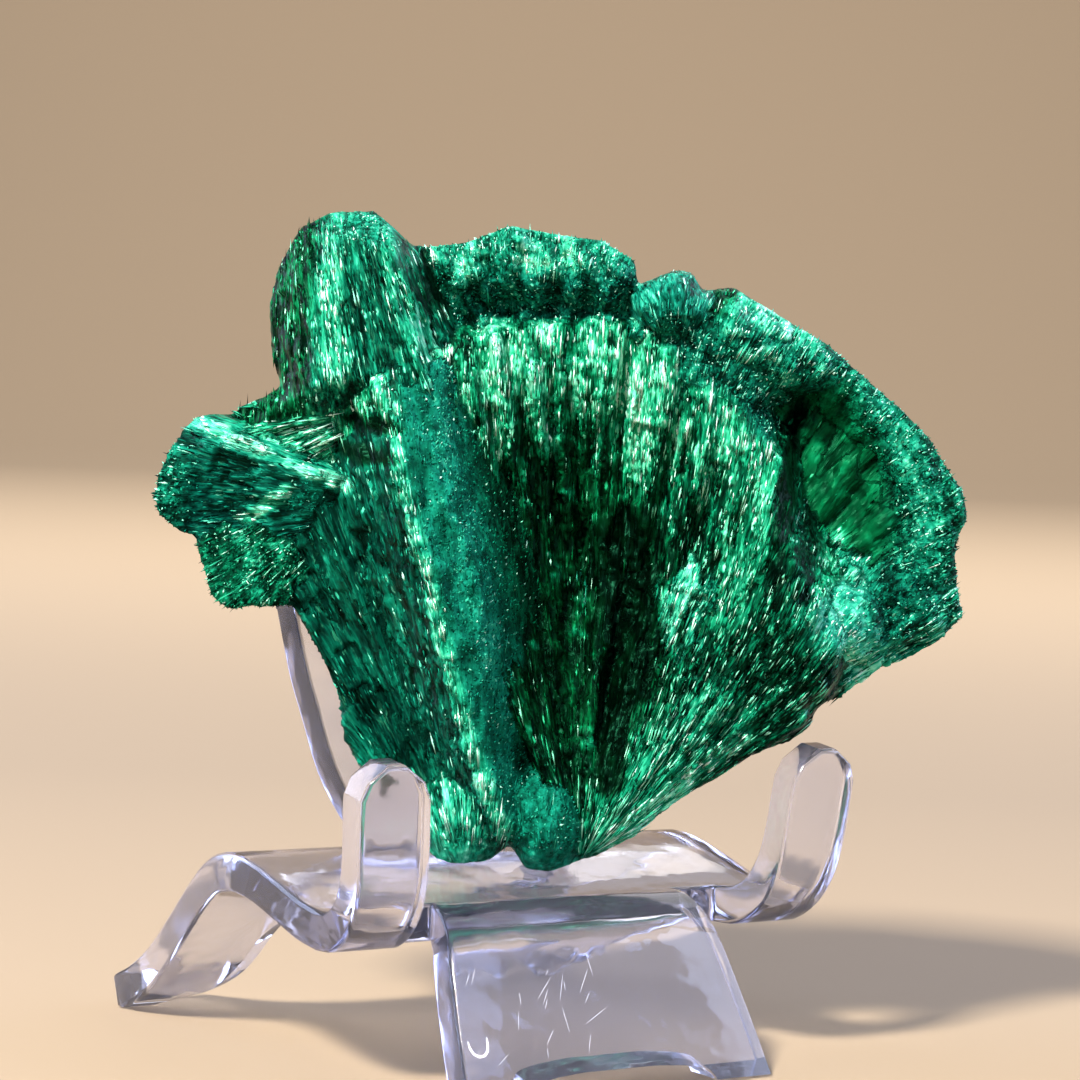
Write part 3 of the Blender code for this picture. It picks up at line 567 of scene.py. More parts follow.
    # Lower edge
    paint(layer == CRUMBS, 0.42, 1.0, 0.75)
    paint((layer == CRUMBS) * np.clip(patches * 1.4, 0, 1), 0.52, 1.0, 0.8)
    paint(layer == MINT, 0.54, 0.8, 0.9, 0.6)
    paint(spot(x, z, (23.4, 19.4), (3.4, 2.0), -18), 0.56, 0.8, 0.9, 0.6)
    paint(stroke(x, z, [(6.5, 2.4), (12.0, 7.0), (16.4, 10.8)], 0.8), 0.50, 1.0, 0.6)
    paint(spot(x, z, (28.4, 21.2), (2.6, 3.0), -20) * 1.4, 0.24, 0.5, 0.85, 0.9)
    paint(layer == LEFT_FOOT, 0.40, 0.6, 0.7)
    paint(spot(x, z, (-3.9, 1.2), (2.8, 1.1)), 0.50, 0.7, 0.7, 0.5)
    paint(layer == MIDDLE_FOOT, 0.32, 0.3, 0.9, 0.8)
    # Painted shade: the slot in the fan, wide above and narrow below, is painted black
    paint(stroke(x, z, [(7.2, 25.6), (7.5, 20.0), (7.8, 15.0)], 1.8) * 1.6, 0.0, 0.0, 0.0)
    paint(stroke(x, z, [(7.4, 16.0), (6.9, 13.0), (6.6, 7.2)], 0.9) * 1.6, 0.0, 0.0, 0.0)
    paint(layer == BACK, 0.24, 0.5, 0.6)
    paint((layer == BACK) * np.clip(patches, 0, 1), 0.36, 0.7, 0.8, 0.4)
    silk["level"] += 0.05 * crags(x, z, 2.6, 72)
    return {name: np.clip(values, 0, 1) for name, values in silk.items()}


def grow_body():
    """The specimen itself, as one closed skin with its sheaves and pits."""
    bpy.ops.object.select_all(action="DESELECT")
    bpy.ops.mesh.primitive_ico_sphere_add(subdivisions=7, radius=1.0, location=(0, 0, 0))
    body = bpy.context.object
    body.name = "malachite_body"
    write_points(body.data, shape_stone(read_points(body.data)) * MM)
    remesh = body.modifiers.new("even skin", "REMESH")
    remesh.mode = "VOXEL"
    remesh.voxel_size = STONE_VOXEL * MM
    apply_modifiers(body)
    keep_largest_piece(body)
    return body


def lottery(column, row, seed):
    """A number from 0 to 1 for each cell, the same each time."""
    return np.mod(np.abs(np.sin(column * 12.9898 + row * 78.233 + seed * 37.719) * 43758.5453), 1.0)


def splinter_steps(side, reach, width, length, seed, slab):
    """A number from 0 to 1 for each of the broken splinters that the fibres are split into."""
    column = np.floor(side / width + 0.3 * waves(side / (3 * width), reach / 6.0, seed)) + slab
    return lottery(column, np.floor(reach / length + lottery(column, 0.0, seed + 1)), seed)


def carve_ribs(body):
    """Breaks the skin into splinters, raises the pimples of the velvet and stores what the finish reads."""
    mesh = body.data
    points = read_points(mesh) / MM
    normals = read_normals(mesh)
    layer = sheaf_layers(points)
    silk = paint_silk(points, layer)
    side, reach, _ = fibre_field(points, layer)
    # On the steep sides the splinters are split by depth as well
    slab = np.where(np.abs(normals[:, 1]) < 0.5, np.floor(points[:, 1] / 0.9), 0.0) * 11.0
    broad = splinter_steps(side, reach, 1.5, 6.0, 41, slab)
    narrow = splinter_steps(side, reach, 0.7, 2.6, 42, slab)
    pimples = crags(points[:, 0], points[:, 2], 1.8, 43) + 0.4 * waves(points[:, 1] / 0.9, points[:, 0] / 1.1, 44)
    soft = silk["velvet"]
    rise = 0.16 * pimples * soft + (0.60 * (broad - 0.5) + 0.34 * (narrow - 0.5)) * (1 - soft)
    silk["level"] = np.clip(silk["level"] * (1 + (0.5 * (broad - 0.5) + 0.7 * (narrow - 0.5)) * (1 - soft)), 0, 1)
    # The outline stays as it is, and the underside keeps clear of the stand
    rise *= np.clip(1.6 * np.abs(normals[:, 1]) - 0.1, 0.15, 1)
    rise = np.where(points[:, 2] < 3.0, np.minimum(rise, 0.0), rise)
    write_points(mesh, (points + normals * rise[:, None]) * MM)
    write_attribute(mesh, "fibre", np.column_stack((side, reach, points[:, 1] + layer * 37.3)))
    for name, values in silk.items():
        write_attribute(mesh, name, values)


def fibre_directions(points, normals, layer):
    """Unit vectors that follow the fibres as seen from the front, and lie along the skin in depth."""
    _, _, lean = fibre_field(points, layer)
    across, up = np.sin(lean), np.cos(lean)
    facing = np.where(normals[:, 1] < 0, -1.0, 1.0) * np.maximum(np.abs(normals[:, 1]), 0.25)
    away = np.clip(-(across * normals[:, 0] + up * normals[:, 2]) / facing, -2.0, 2.0)
    along = np.column_stack((across, away, up))
    return along / np.linalg.norm(along, axis=1)[:, None]


def model_needle():
    """One crystal needle a unit long and a unit thick, as (points, triangles)."""
    bpy.ops.object.select_all(action="DESELECT")
    bpy.ops.mesh.primitive_circle_add(vertices=3, radius=0.5, location=(0, 0, 0.4))
    needle = bpy.context.object
    bpy.ops.object.transform_apply(location=True)
    bpy.ops.object.mode_set(mode="EDIT")
    for height in (0.6, -1.0):
        bpy.ops.mesh.extrude_region_move(TRANSFORM_OT_translate={"value": (0, 0, height)})
        bpy.ops.mesh.merge(type="CENTER")
        bpy.ops.object.mode_set(mode="OBJECT")
        for vertex in needle.data.vertices:
            vertex.select = abs(vertex.co.z - 0.4) < 0.01
        bpy.ops.object.mode_set(mode="EDIT")
        bpy.ops.mesh.select_mode(type="VERT")
    bpy.ops.mesh.select_all(action="SELECT")
    bpy.ops.mesh.normals_make_consistent(inside=False)
    bpy.ops.object.mode_set(mode="OBJECT")
    points = read_points(needle.data)
    triangles = np.array([polygon.vertices[:] for polygon in needle.data.polygons])
    bpy.data.objects.remove(needle)
    return points, triangles


def join_copies(name, points, triangles, bases, along, across, lengths, widths):
    """One mesh of needles, each turned to its own direction and scaled to its own length and width."""
    third = np.cross(along, across)
    placed = (bases[:, None, :]
              + points[None, :, 0, None] * (across * widths[:, None])[:, None, :]
              + points[None, :, 1, None] * (third * widths[:, None])[:, None, :]
              + points[None, :, 2, None] * (along * lengths[:, None])[:, None, :])
    count = len(bases)
    corners = (triangles[None, :, :] + np.arange(count)[:, None, None] * len(points)).reshape(-1)
    mesh = bpy.data.meshes.new(name)
    mesh.vertices.add(count * len(points))
    mesh.vertices.foreach_set("co", (placed * MM).ravel())
    mesh.loops.add(len(corners))
    mesh.loops.foreach_set("vertex_index", corners.astype(np.int32))
    mesh.polygons.add(len(corners) // 3)
    mesh.polygons.foreach_set("loop_start", np.arange(0, len(corners), 3, dtype=np.int32))
    mesh.update(calc_edges=True)
    mesh.validate()
    mesh.shade_smooth()
    made = bpy.data.objects.new(name, mesh)
    bpy.context.scene.collection.objects.link(made)
    return made


class Skin:
    """Triangles of the body with all that a needle needs to know of its place."""

    def __init__(self, body):
        mesh = body.data
        mesh.calc_loop_triangles()
        corners = np.empty(len(mesh.loop_triangles) * 3, np.int32)
        mesh.loop_triangles.foreach_get("vertices", corners)
        self.corners = corners.reshape(-1, 3)
        self.points = read_points(mesh) / MM
        self.normals = read_normals(mesh)
        a, b, c = (self.points[self.corners[:, place]] for place in range(3))
        self.areas = np.linalg.norm(np.cross(b - a, c - a), axis=1) / 2
        self.layer = sheaf_layers(self.points)
        self.silk = paint_silk(self.points, self.layer)

    def sow(self, random, count, density):
        """Places on the skin, more of them where the density of a vertex is higher."""
        weights = self.areas * density[self.corners].mean(axis=1)
        chosen = random.choice(len(weights), count, p=weights / weights.sum())
        first, second = random.uniform(size=(2, count))
        turned = first + second > 1
        first, second = np.where(turned, 1 - first, first), np.where(turned, 1 - second, second)
        shares = np.column_stack((1 - first - second, first, second))
        nearest = self.corners[chosen, np.argmax(shares, axis=1)]
        places = np.einsum("nk,nkd->nd", shares, self.points[self.corners[chosen]])
        return places, nearest


def lay_needles(name, skin, needle, count, density, seed, length, width, sway=3.0, rise=1.5, pile=0.0):
    """Needles that lie half sunk along their sheaf, or stand up from the skin as a pile."""
    random = np.random.default_rng(SEED * 1000 + seed)
    places, nearest = skin.sow(random, count, density)
    normals = skin.normals[nearest]
    along = fibre_directions(places, normals, skin.layer[nearest])
    beside = np.cross(normals, along)
    swing = np.radians(random.normal(0, sway, count))[:, None]
    lift = np.radians(random.normal(rise, rise, count))[:, None]
    along = along * np.cos(swing) + beside * np.sin(swing)
    along = along * np.cos(lift) + normals * np.sin(lift)
    if pile:
        along = along * (1 - pile) + normals * pile + random.normal(0, 0.3, (count, 3))
    along /= np.linalg.norm(along, axis=1)[:, None]
    across = np.cross(along, random.normal(size=(count, 3)))
    across /= np.linalg.norm(across, axis=1)[:, None]
    lengths = random.uniform(*length, count) * random.uniform(0.5, 1.0, count)
    # The needles near the root of the fan and in the notch are the longest
    if not pile:
        lengths *= 1 + 1.2 * np.clip(1 - np.hypot(places[:, 0] - FAN_ROOT[0], places[:, 2] - FAN_ROOT[1]) / 14.0, 0, 1)
        lengths *= np.where(skin.layer[nearest] == NOTCH, 1.7, 1.0)
    widths = width[0] + (width[1] - width[0]) * random.uniform(size=count) ** 2
    silk = {key: values[nearest] for key, values in skin.silk.items()}
    bases = places - normals * (widths * 0.12)[:, None] - along * (lengths * (0.1 if pile else 0.4))[:, None]
    # No needles on the underside, to keep clear of the stand, nor on the steep edge, which is clean
    low_ends = bases[:, 2] + np.minimum(along[:, 2], 0) * lengths
    kept = (places[:, 2] > 2.2) & (low_ends > (1.2 if pile else 2.2)) & (np.abs(normals[:, 1]) > (0.25 if pile else 0.45))
    made = join_copies(name, needle[0], needle[1], bases[kept], along[kept], across[kept], lengths[kept], widths[kept])
    # Three needles in ten are darker than their place, most are brighter, and some carry a painted glint
    kind = random.uniform(size=count)
    flashing = kind > 1 - 0.30 * silk["spark"]
    tone = silk["level"] + np.where(kind < 0.3, random.uniform(-0.22, -0.05, count), random.uniform(0.0, 0.20, count))
    tone = np.where(flashing, np.maximum(tone, 0.4) + random.uniform(0.1, 0.5, count), tone)
    points_each = len(needle[0])
    write_attribute(made.data, "tone", np.repeat(np.clip(tone, 0, 1)[kept], points_each))
    for key in ("teal", "velvet"):
        write_attribute(made.data, key, np.repeat(silk[key][kept], points_each))
    return made


# Colours of the silk from the painted shade in the gaps between needles to their painted glints: emerald in the depths,
# teal on the outside
EMERALD_STOPS = [(0.0, "#000301"), (0.15, "#012a12"), (0.30, "#025c2f"), (0.45, "#0a8c55"), (0.60, "#2fb983"),
                 (0.80, "#82e6bc"), (1.0, "#dcfff2")]
TEAL_STOPS = [(0.0, "#000403"), (0.15, "#022722"), (0.30, "#045847"), (0.45, "#10856f"), (0.60, "#39b494"),
              (0.80, "#86e2c8"), (1.0, "#dcfff4")]
# Sockets of a Mix node that is set to colour
MIX_A, MIX_B, MIX_COLOUR = 6, 7, 2


def silk_colour(tree, tone):
    """Colour of the silk for a tone from 0 to 1, between emerald and teal."""
    ramps = []
    for stops in (EMERALD_STOPS, TEAL_STOPS):
        ramp = add_node(tree, "ValToRGB", {"Fac": tone})
        elements = ramp.color_ramp.elements
        while len(elements) < len(stops):
            elements.new(0.5)
        for element, (place, code) in zip(elements, stops):
            element.position = place
            element.color = linear_colour(code)
        ramps.append(ramp.outputs["Color"])
    teal = add_node(tree, "Attribute", attribute_name="teal").outputs["Fac"]
    mixed = add_node(tree, "Mix", {"Factor": teal, MIX_A: ramps[0], MIX_B: ramps[1]}, data_type="RGBA")
    return mixed.outputs[MIX_COLOUR]


def new_finish(name):
    finish = bpy.data.materials.new(name)
    finish.use_nodes = True
    return finish, finish.node_tree, finish.node_tree.nodes["Principled BSDF"]


def make_silky_malachite():
    """Fibrous malachite as it grew: splinters run out from each root, each turned a little to the light in its own way."""
    finish, tree, shader = new_finish("silky_malachite")
    fibre = add_node(tree, "Attribute", attribute_name="fibre").outputs["Vector"]
    place = add_node(tree, "TexCoord").outputs["Object"]
    velvet = add_node(tree, "Attribute", attribute_name="velvet").outputs["Fac"]
    level = add_node(tree, "Attribute", attribute_name="level").outputs["Fac"]
    spark = add_node(tree, "Attribute", attribute_name="spark").outputs["Fac"]
    # Threads 0.2 mm wide, splinters 0.17 mm wide and 0.9 mm long, gaps 0.8 mm wide with painted shade, and grains of
    # 0.25 mm
    threads = add_node(tree, "Mapping", {"Vector": fibre, "Scale": (4.6, 0.42, 1.6)})
    thread = add_node(tree, "TexNoise", {"Vector": threads.outputs["Vector"], "Scale": 1.0, "Detail": 2.0, "Roughness": 0.6})
    cells = add_node(tree, "Mapping", {"Vector": fibre, "Scale": (5.6, 1.1, 2.0)})
    splinter = add_node(tree, "TexVoronoi", {"Vector": cells.outputs["Vector"], "Scale": 1.0})
    gaps = add_node(tree, "Mapping", {"Vector": fibre, "Scale": (1.3, 0.17, 0.6)})
    gap = add_node(tree, "TexNoise", {"Vector": gaps.outputs["Vector"], "Scale": 1.0, "Detail": 3.0, "Roughness": 0.55})
    grain = add_node(tree, "TexVoronoi", {"Vector": place, "Scale": 4200.0})
    clump = add_node(tree, "TexNoise", {"Vector": place, "Scale": 1300.0, "Detail": 2.0})
    chosen = add_node(tree, "Mix", {
        "Factor": velvet, MIX_A: splinter.outputs["Color"], MIX_B: grain.outputs["Color"]}, data_type="RGBA")
    split = add_node(tree, "SeparateColor", {"Color": chosen.outputs[MIX_COLOUR]})
    single = add_node(tree, "MapRange", {"Value": split.outputs["Red"], "To Min": -0.10, "To Max": 0.10})
    drawn = add_node(tree, "Mix", {"Factor": velvet, 2: thread.outputs["Fac"], 3: clump.outputs["Fac"]})
    fine = add_node(tree, "MapRange", {"Value": drawn.outputs[0], "From Min": 0.32, "From Max": 0.68,
                                       "To Min": -0.15, "To Max": 0.15})
    # The gaps, low in the bump, are painted darker as shade
    deep = add_node(tree, "MapRange", {"Value": gap.outputs["Fac"], "From Min": 0.34, "From Max": 0.62,
                                       "To Min": -0.13, "To Max": 0.08})
    uneven = add_node(tree, "Math", {0: single.outputs["Result"], 1: fine.outputs["Result"]}, operation="ADD")
    deeper = add_node(tree, "Math", {0: uneven.outputs["Value"], 1: deep.outputs["Result"]}, operation="ADD")
    # The fewer splinters carry a painted glint, the smoother the silk
    rougher = add_node(tree, "MapRange", {"Value": spark, "From Max": 0.5, "To Min": 0.1, "To Max": 1.1})
    tone = add_node(tree, "Math", {0: deeper.outputs["Value"], 1: rougher.outputs["Result"], 2: level},
                    operation="MULTIPLY_ADD")
    # The core of one splinter in six carries a painted glint where the silk is at its brightest
    rare = add_node(tree, "Math", {0: spark, 1: -0.17, 2: 1.0}, operation="MULTIPLY_ADD")
    flash = add_node(tree, "Math", {0: split.outputs["Green"], 1: rare.outputs["Value"]}, operation="GREATER_THAN")
    core = add_node(tree, "MapRange", {"Value": splinter.outputs["Distance"], "From Min": 0.30, "From Max": 0.50,
                                       "To Min": 0.42, "To Max": 0.0})
    shine = add_node(tree, "Mix", {"Factor": velvet, 2: core.outputs["Result"], 3: 0.26})
    lit = add_node(tree, "Math", {0: flash.outputs["Value"], 1: shine.outputs[0], 2: tone.outputs["Value"]},
                   operation="MULTIPLY_ADD", use_clamp=True)
    tree.links.new(silk_colour(tree, lit.outputs["Value"]), shader.inputs["Base Color"])
    rough = add_node(tree, "MapRange", {"Value": velvet, "To Min": 0.4, "To Max": 0.8})
    tree.links.new(rough.outputs["Result"], shader.inputs["Roughness"])
    # Each splinter leans its own way
    leaning = add_node(tree, "VectorMath", {0: chosen.outputs[MIX_COLOUR], 1: (0.5, 0.5, 0.5)}, operation="SUBTRACT")
    bump = add_node(tree, "Bump", {"Height": gap.outputs["Fac"], "Strength": 0.9, "Distance": 0.6 * MM})
    leant = add_node(tree, "VectorMath", {0: leaning.outputs["Vector"], 1: (0.7, 0.7, 0.7), 2: bump.outputs["Normal"]},
                     operation="MULTIPLY_ADD")
    turned = add_node(tree, "VectorMath", {0: leant.outputs["Vector"]}, operation="NORMALIZE")
    tree.links.new(turned.outputs["Vector"], shader.inputs["Normal"])
    shader.inputs["IOR"].default_value = 1.66
    shader.inputs["Specular IOR Level"].default_value = 0.12
    shader.inputs["Specular Tint"].default_value = linear_colour("#4fe6a8")
    return finish


def make_crystal_needles():
    """Single malachite needles, glassy enough for each to catch the light along its length."""
    finish, tree, shader = new_finish("crystal_needles")
    tone = add_node(tree, "Attribute", attribute_name="tone").outputs["Fac"]
    tree.links.new(silk_colour(tree, tone), shader.inputs["Base Color"])
    velvet = add_node(tree, "Attribute", attribute_name="velvet").outputs["Fac"]
    rough = add_node(tree, "MapRange", {"Value": velvet, "To Min": 0.4, "To Max": 0.7})
    tree.links.new(rough.outputs["Result"], shader.inputs["Roughness"])
    shader.inputs["IOR"].default_value = 1.66
    shader.inputs["Specular IOR Level"].default_value = 0.06
    shader.inputs["Specular Tint"].default_value = linear_colour("#62f0b4")
    return finish


def make_clear_plastic():
    """Moulded clear polystyrene: bright and sharp, with a faint lavender cast where light runs along the wall."""
    finish, tree, shader = new_finish("clear_plastic")
    shader.inputs["Base Color"].default_value = linear_colour("#eef1ff")
    shader.inputs["Transmission Weight"].default_value = 0.975
    shader.inputs["IOR"].default_value = 1.49
    place = add_node(tree, "TexCoord").outputs["Object"]
    # Handling has left faint smears and scratches, and the moulding a slow ripple of 5 mm
    smear = add_node(tree, "TexNoise", {"Vector": place, "Scale": 260.0, "Detail": 4.0, "Roughness": 0.7})
    dull = add_node(tree, "MapRange", {"Value": smear.outputs["Fac"], "From Min": 0.45, "From Max": 0.75,
                                       "To Min": 0.03, "To Max": 0.22})
    tree.links.new(dull.outputs["Result"], shader.inputs["Roughness"])
    ripple = add_node(tree, "TexNoise", {"Vector": place, "Scale": 200.0, "Detail": 2.0})
    bump = add_node(tree, "Bump", {"Height": ripple.outputs["Fac"], "Strength": 0.5, "Distance": 0.3 * MM})
    tree.links.new(bump.outputs["Normal"], shader.inputs["Normal"])
    absorb = add_node(tree, "VolumeAbsorption", {"Color": linear_colour("#c4ceff"), "Density": 24.0})
    tree.links.new(absorb.outputs["Volume"], tree.nodes["Material Output"].inputs["Volume"])
    return finish


# Clear stand
def even_curve(corners, steps):
    """Points of a smooth curve that runs through the corners."""
    ends = [2 * Vector(corners[0]) - Vector(corners[1])] + [Vector(c) for c in corners]
    ends.append(2 * Vector(corners[-1]) - Vector(corners[-2]))
    curve = []
    for before, start, end, after in zip(ends, ends[1:], ends[2:], ends[3:]):
        for step in range(steps):
            t = step / steps
            curve.append(0.5 * (2 * start + (end - before) * t + (2 * before - 5 * start + 4 * end - after) * t ** 2
                                + (3 * start - before - 3 * end + after) * t ** 3))
    return curve + [Vector(corners[-1])]


def select_vertices(piece, wanted):
    """Selects in edit mode the vertices whose place in millimetres passes the test."""
    bpy.ops.object.mode_set(mode="OBJECT")
    for part in (piece.data.vertices, piece.data.edges, piece.data.polygons):
        part.foreach_set("select", [False] * len(part))
    for vertex in piece.data.vertices:
        vertex.select = wanted(vertex.co / MM)
    bpy.ops.object.mode_set(mode="EDIT")
    bpy.ops.mesh.select_mode(type="VERT")


def extrude_along(steps, aside=0.0, widen=1.0):
    """Draws the selected row out along a curve of (y, z) points, with a shift or a growth in width at each step."""
    for (y0, z0), (y1, z1) in zip(steps, steps[1:]):
        bpy.ops.mesh.extrude_region_move(TRANSFORM_OT_translate={
            "value": (aside * MM, (y1 - y0) * MM, (z1 - z0) * MM)})
        if widen != 1.0:
            bpy.ops.transform.resize(value=(widen, 1, 1), center_override=(0, 0, 0))


def thicken(piece):
    """Gives a sheet its wall and its rounded edges."""
    bpy.ops.object.mode_set(mode="OBJECT")
    wall = piece.modifiers.new("wall", "SOLIDIFY")
    wall.thickness = WALL * MM
    wall.offset = 0.0
    wall.use_even_offset = True
    rounding = piece.modifiers.new("rounded edges", "BEVEL")
    rounding.width = EDGE_ROUND * MM
    rounding.segments = 4
    rounding.limit_method = "ANGLE"
    rounding.angle_limit = math.radians(50)
    apply_modifiers(piece)


def cut_or_join(chosen, other, operation):
    boolean = chosen.modifiers.new(other.name, "BOOLEAN")
    boolean.operation = operation
    boolean.solver = "EXACT"
    boolean.object = other
    apply_modifiers(chosen)
    bpy.data.objects.remove(other)


def round_hook_tips(sheet, hook):
    """Narrows the last rows of both hooks to half circles."""
    middle = (PLATE_HALF + HOOK_INNER) / 2
    half = (PLATE_HALF - HOOK_INNER) / 2
    for step, (y, z) in enumerate(hook):
        left = min(1.0, max(0.0, (hook[-1][1] - z) / half))
        if left < 1.0:
            narrow = max(0.25, math.sqrt(1 - (1 - left) ** 2))
            for side in (-1, 1):
                aside = side * (middle + HOOK_SPLAY * step / (len(hook) - 1))
                select_vertices(sheet, lambda co: abs(co.z - z) < 0.01 and abs(co.y - y) < 0.01 and co.x * side > 0)
                bpy.ops.transform.resize(value=(narrow, 1, 1), center_override=(aside * MM, 0, 0))


def bend_sheet():
    """The bent plate with its two hooks and front leg, drawn out row by row from the rear foot."""
    hook_mid = (PLATE_HALF + HOOK_INNER) / 2
    across = [-PLATE_HALF, -hook_mid, -HOOK_INNER, -LEG_TOP_HALF, -LEG_TOP_HALF / 2, 0.0,
              LEG_TOP_HALF / 2, LEG_TOP_HALF, HOOK_INNER, hook_mid, PLATE_HALF]
    plate = even_curve(PLATE_LINE, 3)
    bpy.ops.object.select_all(action="DESELECT")
    bpy.ops.mesh.primitive_grid_add(x_subdivisions=len(across) - 1, y_subdivisions=1, size=2.0, location=(0, 0, 0))
    sheet = bpy.context.object
    sheet.name = "clear_stand"
    for vertex in sheet.data.vertices:
        column = round((vertex.co.x + 1) / 2 * (len(across) - 1))
        row = plate[0] if vertex.co.y < 0 else plate[1]
        vertex.co = Vector((across[column], row[0], row[1])) * MM
    select_vertices(sheet, lambda co: abs(co.y - plate[1][0]) < 0.01)
    extrude_along(plate[1:])
    trough = plate[-1][0]
    hook = even_curve([plate[-1]] + [Vector(point) for point in HOOK_LINE], 3)
    leg = even_curve([plate[-1]] + [Vector(point) for point in LEG_LINE], 3)
    for side in (-1, 1):
        select_vertices(sheet, lambda co: abs(co.y - trough) < 0.01 and co.x * side > HOOK_INNER - 0.1)
        extrude_along(hook, aside=side * HOOK_SPLAY / (len(hook) - 1))
    select_vertices(sheet, lambda co: abs(co.y - trough) < 0.01 and abs(co.x) < LEG_TOP_HALF + 0.1)
    extrude_along(leg, widen=(LEG_FOOT_HALF / LEG_TOP_HALF) ** (1 / (len(leg) - 1)))
    round_hook_tips(sheet, hook)
    bpy.ops.mesh.select_all(action="SELECT")
    bpy.ops.mesh.normals_make_consistent(inside=False)
    thicken(sheet)
    return sheet


def raise_back_rest():
    lean = math.radians(REST_LEAN)
    slope = Vector((0.0, math.sin(lean), math.cos(lean)))
    foot = Vector((0.0, *REST_FOOT))
    bpy.ops.object.select_all(action="DESELECT")
    bpy.ops.mesh.primitive_grid_add(x_subdivisions=4, y_subdivisions=1, size=2.0, location=(0, 0, 0))
    rest = bpy.context.object
    rows = even_curve(REST_WIDTHS, 3)
    for vertex in rest.data.vertices:
        half, up = rows[0] if vertex.co.y < 0 else rows[1]
        vertex.co = (Vector((vertex.co.x * half, 0, 0)) + foot + slope * up) * MM
    select_vertices(rest, lambda co: abs((co - foot).dot(slope) - rows[1][1]) < 0.01)
    for (half0, up0), (half1, up1) in zip(rows[1:], rows[2:]):
        bpy.ops.mesh.extrude_region_move(TRANSFORM_OT_translate={"value": slope * (up1 - up0) * MM})
        bpy.ops.transform.resize(value=(half1 / half0, 1, 1), center_override=(0, 0, 0))
    half, up = rows[-1]
    select_vertices(rest, lambda co: abs((co - foot).dot(slope) - up) < 0.01 and abs(abs(co.x) - half) < 0.01)
    bpy.ops.mesh.bevel(offset=5.0 * MM, segments=8, affect="VERTICES", clamp_overlap=True)
    bpy.ops.mesh.select_all(action="SELECT")
    bpy.ops.mesh.normals_make_consistent(inside=False)
    thicken(rest)
    return rest


def arch_block(outline, near, far):
    """A block with an arched top, for cutting an opening through the wall from near to far."""
    bpy.ops.object.select_all(action="DESELECT")
    curve = even_curve(outline, 3)
    corners = [(x, z) for x, z in curve] + [(-x, z) for x, z in reversed(curve)]
    bpy.ops.mesh.primitive_circle_add(vertices=len(corners), fill_type="NGON", location=(0, 0, 0))
    block = bpy.context.object
    for vertex, (x, z) in zip(block.data.vertices, corners):
        vertex.co = Vector((x, near, z)) * MM
    bpy.ops.object.mode_set(mode="EDIT")
    bpy.ops.mesh.select_all(action="SELECT")
    bpy.ops.mesh.extrude_region_move(TRANSFORM_OT_translate={"value": (0, (far - near) * MM, 0)})
    bpy.ops.mesh.select_all(action="SELECT")
    bpy.ops.mesh.normals_make_consistent(inside=False)
    bpy.ops.object.mode_set(mode="OBJECT")
    return block


def mould_stand(finish):
    stand = bend_sheet()
    cut_or_join(stand, raise_back_rest(), "UNION")
    cut_or_join(stand, arch_block(ARCH_LINE, 40.0, 15.2), "DIFFERENCE")
    foot_arch = [(FOOT_ARCH_HALF, -3.0), (FOOT_ARCH_HALF, 0.2), (FOOT_ARCH_HALF * 0.8, 1.0), (FOOT_ARCH_HALF * 0.4, FOOT_ARCH_RISE)]
    cut_or_join(stand, arch_block(foot_arch, -1.0, -16.0), "DIFFERENCE")
    bpy.ops.mesh.primitive_cube_add(size=0.12, location=(0, 0, -0.06))
    cut_or_join(stand, bpy.context.object, "DIFFERENCE")
    shift = Vector(((STAND_LOW.x + STAND_HIGH.x) / 2, STAND_LOW.y + 10.25 * MM, 0.0))
    stand.data.transform(Matrix.Translation(shift))
    select_only(stand)
    bpy.ops.object.shade_smooth_by_angle(angle=math.radians(35))
    stand.data.materials.clear()
    stand.data.materials.append(finish)
    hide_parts("display_stand")
    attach(stand, "root")
    return stand


def score_marks(stand, lines, width):
    """Thin marks on the front of the stand, along lines given as points of (x, z) in millimetres."""
    points, quads = [], []
    for line in lines:
        found = [stand.ray_cast(Vector((x, -60.0, z)) * MM, Vector((0, 1, 0))) for x, z in line]
        centres = [place + normal * 0.02 * MM for hit, place, normal, _ in found if hit]
        normals = [normal for hit, _, normal, _ in found if hit]
        for index, (centre, normal) in enumerate(zip(centres, normals)):
            along = centres[min(index + 1, len(centres) - 1)] - centres[max(index - 1, 0)]
            # The marks taper to both ends
            half = width * MM * (0.5 if 0 < index < len(centres) - 1 else 0.15)
            across = along.cross(normal).normalized() * half
            if index:
                last = len(points)
                quads.append((last - 2, last - 1, last + 1, last))
            points += [centre - across, centre + across]
    mesh = bpy.data.meshes.new("handling_marks")
    mesh.from_pydata(points, [], quads)
    marks = bpy.data.objects.new("handling_marks", mesh)
    bpy.context.scene.collection.objects.link(marks)
    return marks


def mark_stand(stand, finish):
    """The small curl left by the mould on the front leg, and the fine scratches round it."""
    random = np.random.default_rng(SEED * 1000 + 9)
    scratches = []
    for _ in range(20):
        x, z = random.uniform(-14.5, -3.0), random.uniform(2.0, 8.0)
        turn, length = random.normal(0.9, 0.5), random.uniform(0.5, 2.2)
        scratches.append([(x + length * share * math.cos(turn), z + length * share * math.sin(turn))
                          for share in (0.0, 0.35, 0.7, 1.0)])
    for name, lines, width in (("mould_curl", [MOULD_CURL], 0.2), ("scratches", scratches, 0.03)):
        marks = score_marks(stand, lines, width)
        marks.name = name
        marks.data.materials.append(finish)
        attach(marks, "root")


def make_scored_plastic():
    """Plastic where it is scored or pinched by the mould: dull and whitish, so that it catches the light."""
    finish, tree, shader = new_finish("scored_plastic")
    shader.inputs["Base Color"].default_value = linear_colour("#e4e6f4")
    shader.inputs["Roughness"].default_value = 0.5
    return finish


